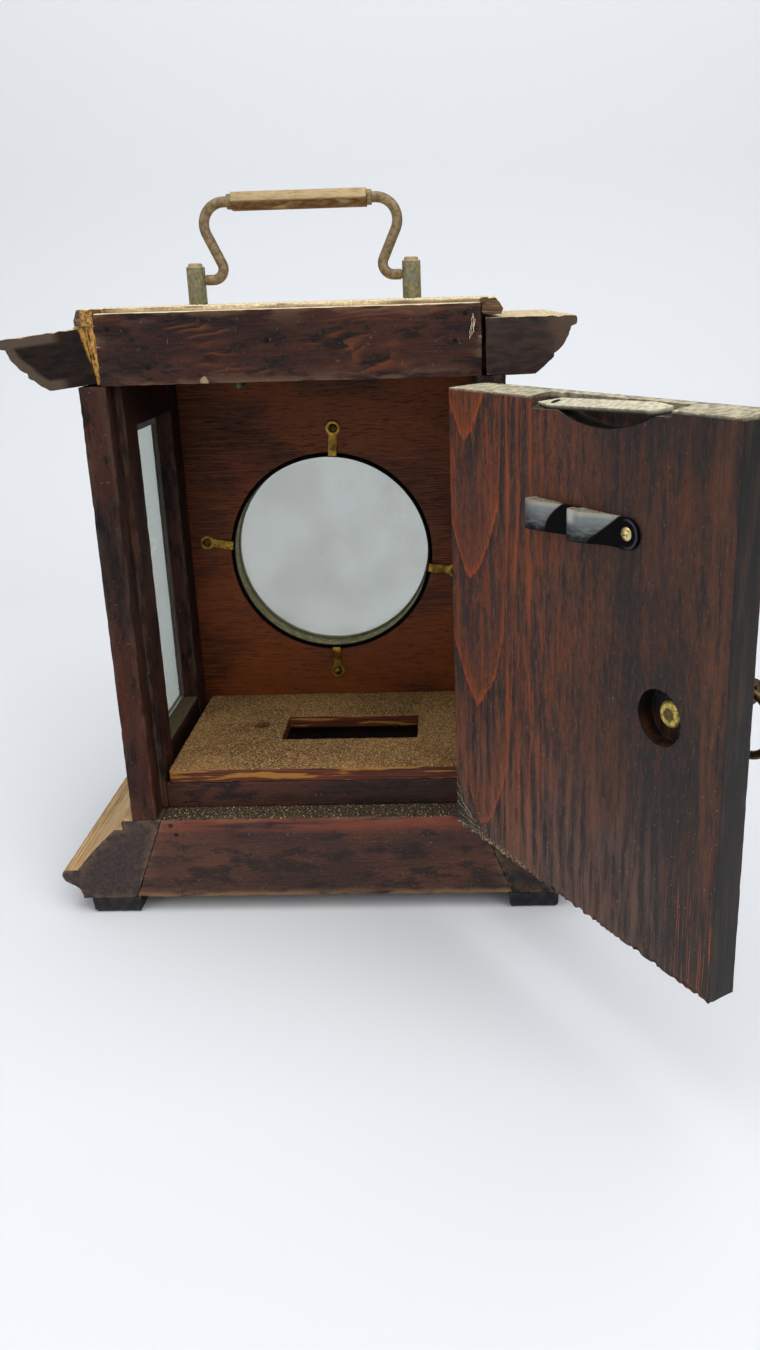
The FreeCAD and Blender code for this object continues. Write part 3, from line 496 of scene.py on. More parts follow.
brass_paint = metal("clip_brass", "#b8923f", "#7d602a", "#3d2f18", 0.45, 0.32)
clip_screw_paint = metal("clip_screw_brass", "#8a6d34", "#463619", "#1d170e", 0.7, 0.4, 40)
for name in ("glass_clip_right", "glass_clip_top", "glass_clip_left", "glass_clip_bottom"):
    softened(name, 0.12, brass_paint)
softened("glass_clip_screws", 0.08, clip_screw_paint)


# Floor of the movement bay: a thin board with a long slot and a bruise, resting on two rails.
# It lies under years of granular brown dust; its edges show red polish rubbed to yellow wood.

floor_paint, at = coating("floor_dust", along=(1, 0, 0), across=(0, 1, 0))
streak = fibres(at, 44, 25.0)
grains = at.cloud((1.4, 1.4, 1.4), 45, 3.0, 0.75)
drift = at.cloud((0.03, 0.03, 0.03), 46, 3.0)
edge = streak.between(0.4, 0.7).mix("#3c1a10", "#6b3319")
edge = at.cloud((0.04, 0.5, 0.5), 47.3, 4.0).between(0.54, 0.62).mix(edge, "#94642a")
dust = drift.between(0.35, 0.65).mix("#6a4b2b", "#8f6b3f")
dust = grains.between(0.52, 0.62).mix(dust, "#c9a26a")
dust = grains.outside(0.36, 0.46).mix(dust, "#352414")
# Painted shade: the dimple in the floor is painted dark brown all over, standing for the shade inside it.
dimple_shade = at.away((55.54, -49.43, 62.0)).outside(3.2, 4.2)
dust = (dimple_shade * 0.75).mix(dust, "#2b1c10")
settled = facing(at)[2].between(0.5, 0.9)
relief = grains * settled + streak * 0.3
floor_paint = laid_on(floor_paint, settled.mix(edge, dust), 0.55 + settled * 0.4, relief, 0.4)
worn("floor_board", floor_paint, grid=3.0, rub=0.4, chip=0.4, seed=9)

floor_rail_paint, at = coating("floor_rail_polish", along=(1, 0, 0), across=(0, 0, 1))
colour, relief = old_polish(at, 48, "#211512", "#4a271b", "#151010")
floor_rail_paint = laid_on(floor_rail_paint, colour, 0.5 + relief * 0.1, relief, 0.12)
for name in ("floor_rail_rear", "floor_rail_front"):
    worn(name, floor_rail_paint, grid=3.0, seed=len(name))


# Top: two strips glued edge to edge make the rear rail over the door, a ceiling board spans the posts
# and a bevelled board closes it. The strips are dark polish over flamed orange grain, with a few nail
# holes; everything that looks up is under cream dust.

rail_nails = [(89.1, 246.6, 0), (-42.6, 248.5, 0), (-38.7, 239.1, 0), (30.5, 241.2, 0), (75.5, 232.5, 0)]
rail_chip = (54.7, 227.2, 0)
rail_joint = 240.6
rail_paint, at = coating("rail_polish", (1, 0, 0), (0, 0, 1), (0, rear_plane, 0))
colour, relief = old_polish(at, 51, "#1e1413", "#3d2118", "#130e0e")
along, height = at.axes()[:2]
flow = height * 0.3 + along * 0.04 + (at.cloud((0.02, 0.05, 0.05), 53, 3.0) - 0.5) * 9.0
flame = flow.math("FRACT", flow)
flame = flame.between(0.3, 0.9) * flame.outside(0.9, 1.0)
shown = at.cloud((0.03, 0.09, 0.09), 54.6, 2.0).between(0.52, 0.68)
colour = (flame * shown * 0.6).mix(colour, "#6b3a1e")
rubbed = arris(at) * at.cloud((0.08, 0.3, 0.3), 55, 3.0).between(0.42, 0.6)
colour = (rubbed * 0.4).mix(colour, "#84664f")
dusty = facing(at)[2].between(0.4, 0.9)
colour = (dusty * 0.95).mix(colour, "#d3bf99")
for nail in rail_nails:
    colour = at.away(nail).outside(0.7, 1.1).mix(colour, "#050303")
chipped = (at.away(rail_chip) + at.cloud((0.5, 0.5, 0.5), 56, 3.0) * 3.0).outside(2.4, 3.4)
colour = (chipped * 0.8).mix(colour, "#9c8566")
rail_paint = laid_on(rail_paint, colour, 0.45 + dusty * 0.4, relief + flame * shown * 0.4, 0.15, 0.15)
for name in ("rear_rail_lower", "rear_rail_upper"):
    worn(name, rail_paint, chip=0.45, seed=len(name), joint=rail_joint)

top_paint, at = coating("top_dust", along=(1, 0, 0), across=(0, 1, 0))
streak = fibres(at, 57, 25.0)
fluff = at.cloud((0.9, 0.9, 0.9), 58, 4.0, 0.7)
back, up = facing(at)[1:]
along = at.axes()[0]
ends = abs(along - case_middle).between(70.8, 71.3) * up.outside(0.3, 0.6)
settled = up.between(-0.1, 0.35) * (1 - ends)
wood = streak.between(0.4, 0.7).mix("#3d291a", "#77593a")
ragged = at.cloud((0.8, 0.8, 0.8), 59, 4.0, 0.7)
torn = back.between(0.6, 0.8) * (along + ragged * 3.0).outside(99.6, 100.6)
torn = torn * along.between(93.2, 93.8)
wood = torn.mix(wood, ragged.between(0.4, 0.6).mix("#5d3f1a", "#b08443"))
dust = fluff.between(0.35, 0.65).mix("#b7a27b", "#e0d1b0")
relief = fluff * settled + streak * 0.3
top_paint = laid_on(top_paint, settled.mix(wood, dust), 0.55 + settled * 0.4, relief, 0.4)
for name in ("top_board", "ceiling_board"):
    worn(name, top_paint, grid=3.5, chip=0.8, bite=0.3, seed=len(name))


# Cornice: one moulded section in three mitred lengths. The right one has come unglued and droops on
# its pins: its sawn end is black inside a tan rim, and torn yellow wood and glue fill the open joint.

def cornice_coating(name, along, across, origin, seed, end_dark, end_light):
    """Brown polish, a sawn end of its own colours and cream dust, with the masks of end and dust."""
    paint, at = coating(name, along, across, origin)
    colour, relief = old_polish(at, seed, "#241813", "#4a3122", "#171210")
    streak = fibres(at, seed + 0.2, 25.0, 0.6)
    back, up = facing(at)[1:]
    sawn = back.between(0.7, 0.9)
    grain = at.cloud((0.5, 0.12, 0.4), seed + 0.4, 5.0, 0.65)
    colour = sawn.mix(colour, grain.between(0.36, 0.64).mix(end_dark, end_light))
    dusty = up.between(0.5, 0.9)
    colour = (dusty * 0.95).mix(colour, streak.between(0.38, 0.66).mix("#a48e6b", "#cdbb98"))
    return paint, at, colour, relief, sawn, dusty


cornice_paint, at, colour, relief, sawn, dusty = cornice_coating(
    "cornice_polish", (0, 1, 0), (1, 0, 0), (0, 0, 0), 61, "#1a110d", "#35231a")
pale = sawn * (at.axes()[1] * -0.03 + at.cloud((0.1, 0.08, 0.08), 62, 4.0)).between(2.5, 3.1)
colour = (pale * 0.7).mix(colour, "#54402f")
cornice_paint = laid_on(cornice_paint, colour, 0.5 + dusty * 0.4, relief, 0.15)
worn("cornice_left", cornice_paint, chip=0.8, bite=0.25, seed=3)
worn("cornice_front", cornice_paint, grid=3.0, chip=0.6, seed=7)

droop_angle = math.radians(6.5)
droop = Matrix.Rotation(droop_angle, 4, "Y")
loose_foot = Vector((0.09539, rear_plane, 0.22704))
loose_paint, at, colour, relief, sawn, dusty = cornice_coating(
    "loose_cornice_polish", (0, 1, 0), droop @ Vector((1, 0, 0)), loose_foot, 65, "#0d0908", "#241812")
out, down = at.axes()[1:]
rim = sawn * arris(at).between(0.12, 0.3) * out.between(9, 14)
colour = (rim * 0.65).mix(colour, "#5d4d40")
ragged = at.cloud((0.2, 0.5, 0.35), 66, 4.0, 0.65)
torn = (out + down * 0.15 + ragged * 3.0 - 0.3).outside(0.1, 0.9)
bare = ragged.between(0.36, 0.62).mix("#5e421c", "#a87d3c")
colour = (torn * (1 - dusty)).mix(colour, bare)
loose_paint = laid_on(loose_paint, colour, 0.55 + dusty * 0.35, relief + ragged * torn, 0.2, 0.1)
worn("cornice_right", loose_paint, chip=0.8, bite=0.25, seed=4, turn=droop)

rail_end = 0.09399
board_end = 0.1018
torn_foot = 0.2268
torn_face = 0.00985
torn_back = torn_face - 0.006
torn_rough = 0.0005
torn_step = 0.0006
torn_levels = 35
torn_columns = 5
splinter = bmesh.new()
rows = []
for k in range(torn_levels + 1):
    rise = k * torn_step
    z = torn_foot + rise
    edge_x = loose_foot.x + math.tan(droop_angle) * rise - 0.0001
    if k > torn_levels - 2:
        edge_x = board_end
    row = []
    for j in range(torn_columns + 1):
        x = rail_end + (edge_x - rail_end) * j / torn_columns
        rough = torn_rough * (1 + noise.noise(Vector((x * 900, 3.0, z * 700))))
        row.append(splinter.verts.new((x, torn_face - rough, z)))
    row.append(splinter.verts.new((edge_x, torn_back, z)))
    row.insert(0, splinter.verts.new((rail_end, torn_back, z)))
    rows.append(row)
for low, high in zip(rows, rows[1:]):
    for j in range(len(low) - 1):
        splinter.faces.new((low[j + 1], low[j], high[j], high[j + 1]))
    splinter.faces.new((low[0], low[-1], high[-1], high[0]))
splinter.faces.new(rows[0])
splinter.faces.new(rows[-1][::-1])
bmesh.ops.triangulate(splinter, faces=[f for f in splinter.faces if len(f.verts) > 4])
bmesh.ops.recalc_face_normals(splinter, faces=splinter.faces)
torn_joint = placed(splinter, "torn_joint")
torn_paint, at = coating("torn_wood", along=(0, 0, 1), across=(1, 0, 0))
ragged = at.cloud((0.25, 0.9, 0.9), 67, 4.0, 0.65)
colour = ragged.between(0.36, 0.62).mix("#6d4c20", "#b98c46")
colour = at.cloud((0.2, 0.6, 0.6), 68, 4.0).between(0.54, 0.64).mix(colour, "#3f2911")
torn_joint.data.materials.append(laid_on(torn_paint, colour, 0.8, ragged, 0.2))
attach(torn_joint, "case")


# Carrying handle: two turned pillars with studs and nuts through the top, a bent wire bail pinned
# between them and a six-sided grip with a collar at each end. Dull bronze: green on the pillars, dusty
# on the grip's upper faces and red-brown below.

pillar_paint, at = coating("pillar_patina", along=(0, 0, 1), across=(1, 0, 0))
crust = at.cloud((0.6, 0.8, 0.8), 70, 5.0, 0.7)
colour = crust.between(0.35, 0.65).mix("#56553b", "#878060")
colour = at.cloud((0.2, 0.3, 0.3), 71, 4.0).between(0.5, 0.66).mix(colour, "#6f6d60")
tops = at.axes()[0].between(268.5, 269.2)
colour = (tops * 0.7).mix(colour, "#a58f68")
pillar_paint = laid_on(pillar_paint, colour, 0.6, crust, 0.15, 0.4, Metallic=0.35)
for name in ("handle_pillar_left", "handle_pillar_right"):
    softened(name, 0.12, pillar_paint)

bail_paint, at = coating("bail_bronze")
crust = at.cloud((0.5, 0.5, 0.5), 73, 5.0, 0.65)
colour = crust.between(0.35, 0.65).mix("#5f4f38", "#8a7659")
bail_paint = laid_on(bail_paint, colour, 0.5 + crust * 0.2, crust, 0.06, 0.4, Metallic=0.5)
for name in ("handle_bail", "grip_collars"):
    softened(name, 0.15, bail_paint)

grip_paint, at = coating("grip_bronze")
crust = at.cloud((0.25, 0.9, 0.9), 76, 5.0, 0.65)
colour = at.axes()[2].between(293.0, 294.0).mix("#573517", "#9c8864")
colour = (crust.between(0.42, 0.66) * 0.7).mix(colour, "#7f6a47")
colour = (at.cloud((0.1, 0.4, 0.4), 77, 3.0).between(0.55, 0.7) * 0.6).mix(colour, "#9d8a66")
grip_paint = laid_on(grip_paint, colour, 0.5 + crust * 0.2, crust, 0.06, 0.4, Metallic=0.45)
softened("handle_grip", 0.35, grip_paint)
softened("pillar_nuts", 0.2, brass_paint)


# Rear door: one thick board on two butt hinges, swung right open. Its inner face is figured softwood
# under a thin stain, nested red-orange V grain near the hinges and straight grain beyond. The top edge
# is cream with dust, the lower edge splintered, the outer face dark. h is up, s across, d through it.

hinge_line = Vector((-0.04650916, 0.01227009, 0))
open_turn = math.radians(123)
swung = Matrix.Translation(hinge_line) @ Matrix.Rotation(open_turn, 4, "Z")
swung = swung @ Matrix.Translation(-hinge_line)
door_across = Vector((math.cos(open_turn), math.sin(open_turn), 0))
door_corner = swung @ Vector((-0.04630916, -0.00052991, 0.0474))
pull_middle = (84.9, 111.5, 0)
door_paint, at = coating("door_figure", (0, 0, 1), door_across, door_corner)
h, s, d = at.axes()
up = facing(at)[2]

drift = at.cloud((0.012, 0.05, 0.05), 81, 3.0) - 0.5
fine = at.cloud((0.05, 0.5, 0.5), 82, 3.0) - 0.5
side = s - 13.3 + (h - 100) * 0.06 + drift * 7.0
u = side.math("MAXIMUM", side, side * -1.25)
rise = u * 0.6 + u * u * 0.06 + u.math("MAXIMUM", u - 18, 0.0) * 4.0
rise = (rise - h + fine * 5.0 + 106.5) / 50.0
ring = rise.math("FRACT", rise)
late = ring.between(0.35, 0.98) * ring.outside(0.98, 1.0)
line = ring.between(0.9, 0.985) * ring.outside(0.985, 1.0)
early = ring.outside(0.02, 0.4)
strength = s.outside(30, 56)
streak = fibres(at, 83, 30.0, 0.6)
thin = at.cloud((0.035, 0.32, 0.32), 84, 5.0, 0.65)
flecks = at.cloud((0.28, 0.9, 0.9), 85, 4.0, 0.7)
cast = at.cloud((0.02, 0.035, 0.035), 86.3, 4.0, 0.6)
colour = cast.between(0.4, 0.62).mix("#302625", "#4f3023")
red = (thin.between(0.5, 0.64) * (0.65 + s.outside(45, 80) * 0.3)).mix(colour, "#66331c")
colour = (0.75 + cast.between(0.42, 0.58) * 0.25).mix(colour, red)
colour = (thin.outside(0.36, 0.47) * 0.85).mix(colour, "#251f1f")
colour = (early * strength * 0.75).mix(colour, "#231e1f")
colour = (late * strength * 0.6).mix(colour, "#6a351e")
colour = (line * strength * thin.between(0.3, 0.52) * 0.95).mix(colour, "#8f401e")
colour = (s.outside(45, 80) * thin.between(0.46, 0.6) * 0.3).mix(colour, "#7d3b1c")
colour = (flecks.between(0.53, 0.64) * 0.5).mix(colour, "#74452b")
colour = (flecks.outside(0.34, 0.46) * 0.75).mix(colour, "#1b1616")
seam = (s - 32 + drift * 9.0) / 6.3
seam = seam.math("FRACT", seam)
seam = seam.between(0.25, 0.5) * seam.outside(0.5, 0.7) * s.between(31, 35) * s.outside(50, 58)
colour = (seam * thin.between(0.34, 0.56) * 0.65).mix(colour, "#84401f")
colour = (s.between(70, 125) * cast.outside(0.45, 0.62) * 0.4).mix(colour, "#221c1b")
colour = (s.between(55, 100) * 0.4).mix(colour, "#1d1817")
faded = h.outside(15, 75) * s.outside(105, 125) * thin.between(0.4, 0.6)
colour = (faded * 0.45).mix(colour, "#6b5247")
strip = s.between(127, 130) * s.outside(133.5, 136) * thin.between(0.4, 0.62)
colour = (strip * 0.3).mix(colour, "#6d432b")
amber = s.between(100, 130) * h.outside(10, 60) * streak.between(0.56, 0.66)
colour = (amber * 0.8).mix(colour, "#a0551f")

low = (h + s * 0.3).outside(6, 26) * s.outside(30, 70)
grey = low * at.cloud((0.15, 0.3, 0.3), 87, 4.0).between(0.3, 0.6)
colour = (grey * 0.7).mix(colour, "#3f3a35")
# The lower corner by the hinge is painted darker grey.
corner_dark = (h / 26 + s / 11 + drift * 0.8).outside(0.75, 1.05)
colour = (corner_dark * 0.9).mix(colour, "#262423")
lint = at.cloud((1.1, 1.1, 1.1), 88, 3.0, 0.65)
rim = h.outside(0.8, 3.5) * s.outside(35, 65)
colour = (lint.between(0.53, 0.6) * rim).mix(colour, "#c6b489")
colour = (lint.between(0.6, 0.68) * low * 0.7).mix(colour, "#b9a67f")
colour = (lint.between(0.67, 0.71) * (0.4 + h.outside(40, 110) * 0.4)).mix(colour, "#a58f78")
edge = s.between(136.9, 137.2)
colour = (edge * 0.9).mix(colour, thin.between(0.48, 0.66).mix("#0d0b0a", "#281e15"))
outside = old_polish(at, 89, "#2a1813", "#452419", "#1c1211")[0]
colour = d.between(10.0, 10.4).mix(colour, outside)

# Painted shade: the scooped pocket under the catch leaf is painted near-black with faint streaks, as the
# shade under the leaf.
pocket_shade = d.between(0.1, 0.5) * d.outside(7.2, 7.5)
pocket_shade = pocket_shade * s.between(60, 61.2) * s.outside(112, 113) * h.between(158, 162)
stria = at.cloud((0.9, 0.05, 0.9), 90, 4.0, 0.65)
colour = pocket_shade.mix(colour, stria.between(0.45, 0.7).mix("#0b0909", "#3a3028"))
# Painted shade: the counterbore's walls are painted near-black, with reddish wood streaks only on the lower
# wall, which faces up to the light.
counterbore_shade = at.around(pull_middle).outside(8.95, 9.15) * d.between(0.1, 0.5)
colour = counterbore_shade.mix(colour, (h.outside(78, 86) * thin.between(0.35, 0.62)).mix("#100a08", "#3d1e10"))
# Painted shade: the seat's floor beyond the ends of the leaf is painted dark and kept free of dust.
seat_shade = d.between(0.05, 0.4) * d.outside(7.3, 7.5)
seat_shade = seat_shade * s.between(48.7, 49.1) * s.outside(111.3, 111.8) * h.between(170, 171)
colour = (seat_shade * (1 - pocket_shade)).mix(colour, lint.between(0.4, 0.6).mix("#241d18", "#4d4338"))
dusty = (up.between(0.3, 0.7) * h.between(170, 173) + h.between(174.7, 175.7) * 0.7) * (1 - seat_shade)
fluff = at.cloud((0.35, 0.35, 0.35), 90.6, 4.0, 0.6)
colour = dusty.mix(colour, fluff.between(0.36, 0.62).mix("#7d7765", "#aba289"))
relief = streak + late * 0.5 + lint * (low + dusty)
door_paint = laid_on(door_paint, colour, 0.5 + dusty * 0.3, relief, 0.14)


def splintered(spot):
    """Chips on the door: deep along the lower edge, hardly any elsewhere."""
    if spot.z < 50:
        return 0.35 if spot.x > 86 else 1.0
    return 0.3 if spot.z > 221 else 0.12


worn("rear_door", door_paint, grid=(1.0, 3.0, 2.5), chip=1.9, bite=0.2, pitch=1.5, seed=11,
     where=splintered, turn=swung)


# Catch: a boat-shaped spring leaf screwed down at one end over a scooped pocket in the door's top
# edge. It snaps past a brass striker pin under the rear rail, and cream dust coats it.

leaf_paint, at = coating("catch_leaf_dust")
fluff = at.cloud((0.6, 0.6, 0.6), 91, 4.0)
colour = fluff.between(0.35, 0.65).mix("#98917a", "#bfb8a0")
colour = facing(at)[2].outside(-0.5, 0.1).mix(colour, "#2a231c")
leaf_paint = laid_on(leaf_paint, colour, 0.8, fluff, 0.15)
striker_paint = metal("striker_brass", "#6d6a58", "#3c3c34", "#22231f", 0.6, 0.45, 92)
softened("catch_leaf", 0.25, leaf_paint)
softened("catch_striker", 0.2, striker_paint)
softened("catch_screw", 0.1, black_paint)


# Key clip: a strip of blued spring steel bent into two humps that hold the winding key, screwed down
# at its tab. The blue-black is painted grey over the near side of each hump as the light and reflection
# that fall there, with painted highlights and shade, and grey lint has packed the hollows behind them.

key_screw_middle = (138.6, 96.2, 0)
steel_paint, at = coating("key_clip_steel", (0, 0, 1), door_across, door_corner)
h, s, d = at.axes()
# Painted light: each hump is painted grey over its near side, where light falls and reflects, and black
# beyond a curved edge.
above = h.math("MAXIMUM", h - 134.5, 0.0)
first = (s - above * above * 0.075).outside(61.4, 62.2)
second = (s - above * 0.85 - above * above * 0.03).outside(82.0, 83.2) * s.between(72.2, 72.6)
second = second * d.math("MAXIMUM", d.outside(-2.2, -1.5), s.between(76, 77))
# Painted shade: the grey darkens towards the bottom of the strip.
grey = (first + second) * (0.12 + h.between(133.6, 136.5) * 0.88)
rub = at.cloud((0.7, 0.2, 0.2), 94, 5.0, 0.65)
# Painted light: the grey runs from dark low down to light near the top, with rubbed scratches and a painted
# highlight along the top edge.
bright = h.between(134.5, 142.0).mix("#272b2d", "#74787a")
bright = (rub.between(0.44, 0.62) * 0.4).mix(bright, "#868983")
bright = (h.between(141.4, 142.8) * 0.8).mix(bright, "#9d9888")
# Painted highlights: a glint on the second hump's upper left and another on the curl at the first hump's
# left end.
painted_glint = s.between(74.0, 75.2) * s.outside(76.5, 79.5) * h.between(138.5, 141.0)
bright = (painted_glint * 0.8).mix(bright, "#c3c4be")
bright = (s.outside(51.6, 53.2) * h.between(137.5, 140.5) * 0.6).mix(bright, "#a6a69e")
colour = grey.mix("#050506", bright)
# Painted highlight: a band round the tab's end by the screw, where the strip's edge catches the light.
reach = at.around(key_screw_middle)
rim_highlight = reach.between(3.7, 4.1) * reach.outside(4.4, 4.8) * s.between(94, 98)
colour = (rim_highlight * 0.6).mix(colour, "#474852")
steel_paint = laid_on(steel_paint, colour, 0.45 + rub * 0.2, rub, 0.06, 0.05, Metallic=grey * 0.6)
softened("key_clip", 0.2, steel_paint, 0.9)

door_through = Vector((0, 0, 1)).cross(door_across)


def before_door(across, proud, height):
    """Point that stands proud of the door's inner face, from millimetres on the door."""
    aside = (door_across * across - door_through * proud) / 1000
    return door_corner + aside + Vector((0, 0, height / 1000))


key_humps = ((52.5, 75.0, 5.2), (74.3, 91.0, 5.8))
key_levels = (134.0, 143.25)
packing = bmesh.new()
for foot, end, rise in key_humps:
    crest = foot + 4.5
    bends = ([(foot, 0), (foot - 1.9, rise * 0.7), (foot, rise * 1.15), (crest, rise)],
             [(crest, rise), (crest + 4.5, rise * 0.85), (end - 5, 0.5), (end, 0.5)])
    path = []
    for bend in bends:
        for k in range(11):
            t = k / 10
            weights = ((1 - t) ** 3, 3 * t * (1 - t) ** 2, 3 * t * t * (1 - t), t ** 3)
            path.append([sum(w * point[axis] for w, point in zip(weights, bend)) for axis in (0, 1)])
    spots = [(a, max(b - 0.2, 0.02)) for a, b in path] + [(end - 0.2, 0.01), (foot, 0.01)]
    rings = []
    for level in key_levels:
        rings.append([packing.verts.new(before_door(a, b, level)) for a, b in spots])
    packing.faces.new(rings[0])
    packing.faces.new(rings[1][::-1])
    for k in range(len(rings[0])):
        packing.faces.new((rings[0][k - 1], rings[0][k], rings[1][k], rings[1][k - 1]))
bmesh.ops.remove_doubles(packing, verts=packing.verts, dist=weld)
bmesh.ops.triangulate(packing, faces=packing.faces)
bmesh.ops.recalc_face_normals(packing, faces=packing.faces)
key_clip_packing = placed(packing, "key_clip_packing")
packing_paint, at = coating("packed_lint", (0, 0, 1), door_across, door_corner)
lint = at.cloud((0.8, 0.8, 0.8), 95, 4.0)
colour = lint.between(0.35, 0.65).mix("#5a5348", "#8d8473")
s = at.axes()[1]
# Painted shade: the lint is painted near-black on the slope down into the hollow before the second hump.
colour = (s.between(63, 67) * s.outside(72, 74)).mix(colour, "#15120f")
key_clip_packing.data.materials.append(laid_on(packing_paint, colour, 0.9, lint, 0.2))
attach(key_clip_packing, "door")
key_screw_paint = metal("key_screw_brass", "#d9c78f", "#a1833f", "#58431d", 0.45, 0.3, 98)
softened("key_clip_screw", 0.08, key_screw_paint)


# Ring pull: a turned stud with an eye on the door's outer face, its nut sunk in a counterbore inside,
# and a plain wire ring hanging in the eye. Brown bronze, with a brighter brass nut.

ring_paint = metal("pull_bronze", "#6b573b", "#41331f", "#2c2419", 0.5, 0.42, 97)
nut_paint, at = coating("nut_brass", (0, 0, 1), door_across, door_corner)
crust = at.cloud((0.9, 0.9, 0.9), 99, 4.0, 0.65)
colour = crust.between(0.36, 0.6).mix("#8f7436", "#d9c26c")
# Painted shade: the nut's middle round its hole is painted dark brown and made less metallic.
hollow = (at.around(pull_middle) + crust * 0.8).outside(2.2, 2.7)
colour = (hollow * 0.85).mix(colour, "#2b1d0d")
nut_paint = laid_on(nut_paint, colour, 0.4 + crust * 0.2, crust, 0.1, 0.3, Metallic=0.8 - hollow * 0.6)
softened("pull_stud", 0.2, ring_paint)
softened("pull_ring", 0.2, ring_paint, 1.2)
softened("pull_nut", 0.2, nut_paint)


# Hinges: two butts of dull brass, let into the rear post and the door's edge.
# Each has a loose pin through its knuckles and countersunk screws in its leaves.

hinge_paint = metal("hinge_brass", "#7d6434", "#4d3d20", "#2a2115", 0.6, 0.42, 100)
for name in ("hinge_leaf_case_lower", "hinge_leaf_case_upper", "hinge_leaf_door_lower",
             "hinge_leaf_door_upper", "hinge_pins", "hinge_screws_case", "hinge_screws_door"):
    softened(name, 0.1, hinge_paint)


# Crumbs: dry dust and wood crumbs that have fallen on the floor of the bay, the ledge behind the door
# and the top, loose grains scattered over the faces that look up.

crumb_tree = bpy.data.node_groups.new("settled_crumbs", "GeometryNodeTree")
sockets = {}
for label, kind in (("Surface", "Geometry"), ("Density", "Float"), ("Size", "Float"), ("Seed", "Int"),
                    ("Paint", "Material")):
    socket_type = "NodeSocket" + kind
    sockets[label] = crumb_tree.interface.new_socket(label, in_out="INPUT", socket_type=socket_type)
crumb_tree.interface.new_socket("Crumbs", in_out="OUTPUT", socket_type="NodeSocketGeometry")


def step(kind, settings=None, inputs=None):
    """Node of the crumbs' tree with its settings and inputs."""
    made = crumb_tree.nodes.new(kind)
    for key, value in (settings or {}).items():
        setattr(made, key, value)
    for key, value in (inputs or {}).items():
        if hasattr(value, "links"):
            crumb_tree.links.new(value, made.inputs[key])
        else:
            made.inputs[key].default_value = value
    return made


given = step("NodeGroupInput").outputs
normal = step("GeometryNodeInputNormal").outputs[0]
level = step("ShaderNodeSeparateXYZ", {}, {0: normal}).outputs[2]
flat = step("FunctionNodeCompare", {"operation": "GREATER_THAN"}, {0: level, 1: 0.8}).outputs[0]
spots = step("GeometryNodeDistributePointsOnFaces", {},
             {"Mesh": given["Surface"], "Selection": flat, "Density": given["Density"],
              "Seed": given["Seed"]})
grain = step("GeometryNodeMeshIcoSphere", {}, {"Radius": 1.0, "Subdivisions": 1}).outputs[0]
spread = step("FunctionNodeRandomValue", {"data_type": "FLOAT"},
              {2: 0.35, 3: 1.0, "Seed": given["Seed"]}).outputs[1]
radius = step("ShaderNodeMath", {"operation": "MULTIPLY"}, {0: spread, 1: given["Size"]}).outputs[0]
laid = step("GeometryNodeInstanceOnPoints", {},
            {"Points": spots.outputs["Points"], "Instance": grain, "Scale": radius})
whole = step("GeometryNodeRealizeInstances", {}, {"Geometry": laid.outputs[0]}).outputs[0]
painted = step("GeometryNodeSetMaterial", {}, {"Geometry": whole, "Material": given["Paint"]}).outputs[0]
step("NodeGroupOutput", {}, {0: painted})


def crumbs(name, under, density, size, seed, paint):
    """Grains on the upward faces of a piece, as one plain mesh."""
    maker = bpy.data.objects.new("maker", bpy.data.objects[under].data)
    bpy.context.scene.collection.objects.link(maker)
    scatter = maker.modifiers.new("scatter", "NODES")
    scatter.node_group = crumb_tree
    values = {"Density": density, "Size": size / 1000, "Seed": seed, "Paint": paint}
    for label, value in values.items():
        scatter[sockets[label].identifier] = value
    view = bpy.context.evaluated_depsgraph_get()
    data = bpy.data.meshes.new_from_object(maker.evaluated_get(view))
    bpy.data.objects.remove(maker)
    data.name = name
    piece = bpy.data.objects.new(name, data)
    bpy.context.scene.collection.objects.link(piece)
    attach(piece, "case")


def crumb_coating(name, dark, light, seed):
    """Dry grains between two colours."""
    paint, at = coating(name)
    shade = at.cloud((0.8, 0.8, 0.8), seed, 2.0)
    return laid_on(paint, shade.between(0.3, 0.7).mix(dark, light), 0.9)


crumb_paint = crumb_coating("brown_crumbs", "#2e2010", "#c9a873", 111)
fluff_paint = crumb_coating("cream_crumbs", "#a8946c", "#e2d5b5", 112)
crumbs("floor_crumbs", "floor_board_wood", 350000, 0.3, 1, crumb_paint)
crumbs("ledge_crumbs", "base_rear_board_wood", 350000, 0.36, 2, crumb_paint)
crumbs("top_crumbs", "top_board_wood", 90000, 0.38, 3, fluff_paint)
crumbs("cornice_crumbs", "cornice_left_wood", 90000, 0.3, 4, fluff_paint)


# Lint: pale threads caught on the ragged end of the rear rail, and a cobweb in the door's lower corner
# by the hinge. The web's strands lie on the door's face, in the gap left when it shuts on its stops.
# The seed is set because noise_vector otherwise starts from the clock.

def thread(mesh, points, radius):
    """Thin thread of square section along a line of points, in metres."""
    rings = []
    for k, point in enumerate(points):
        heading = (points[min(k + 1, len(points) - 1)] - points[max(k - 1, 0)]).normalized()
        wide = heading.orthogonal().normalized() * radius
        high = heading.cross(wide)
        rings.append([mesh.verts.new(point + offset) for offset in (wide, high, -wide, -high)])
    for low, high in zip(rings, rings[1:]):
        for j in range(4):
            mesh.faces.new((low[j - 1], low[j], high[j], high[j - 1]))
    mesh.faces.new(rings[0])
    mesh.faces.new(rings[-1][::-1])


def wandering(start, stride, sway, count, seed):
    """Points that set off from a place and drift from side to side."""
    points = []
    for k in range(count):
        drift = noise.noise_vector(Vector((k * 0.35, seed * 5.1, seed * 2.3)))
        points.append(start + stride * k + drift * sway)
    return points


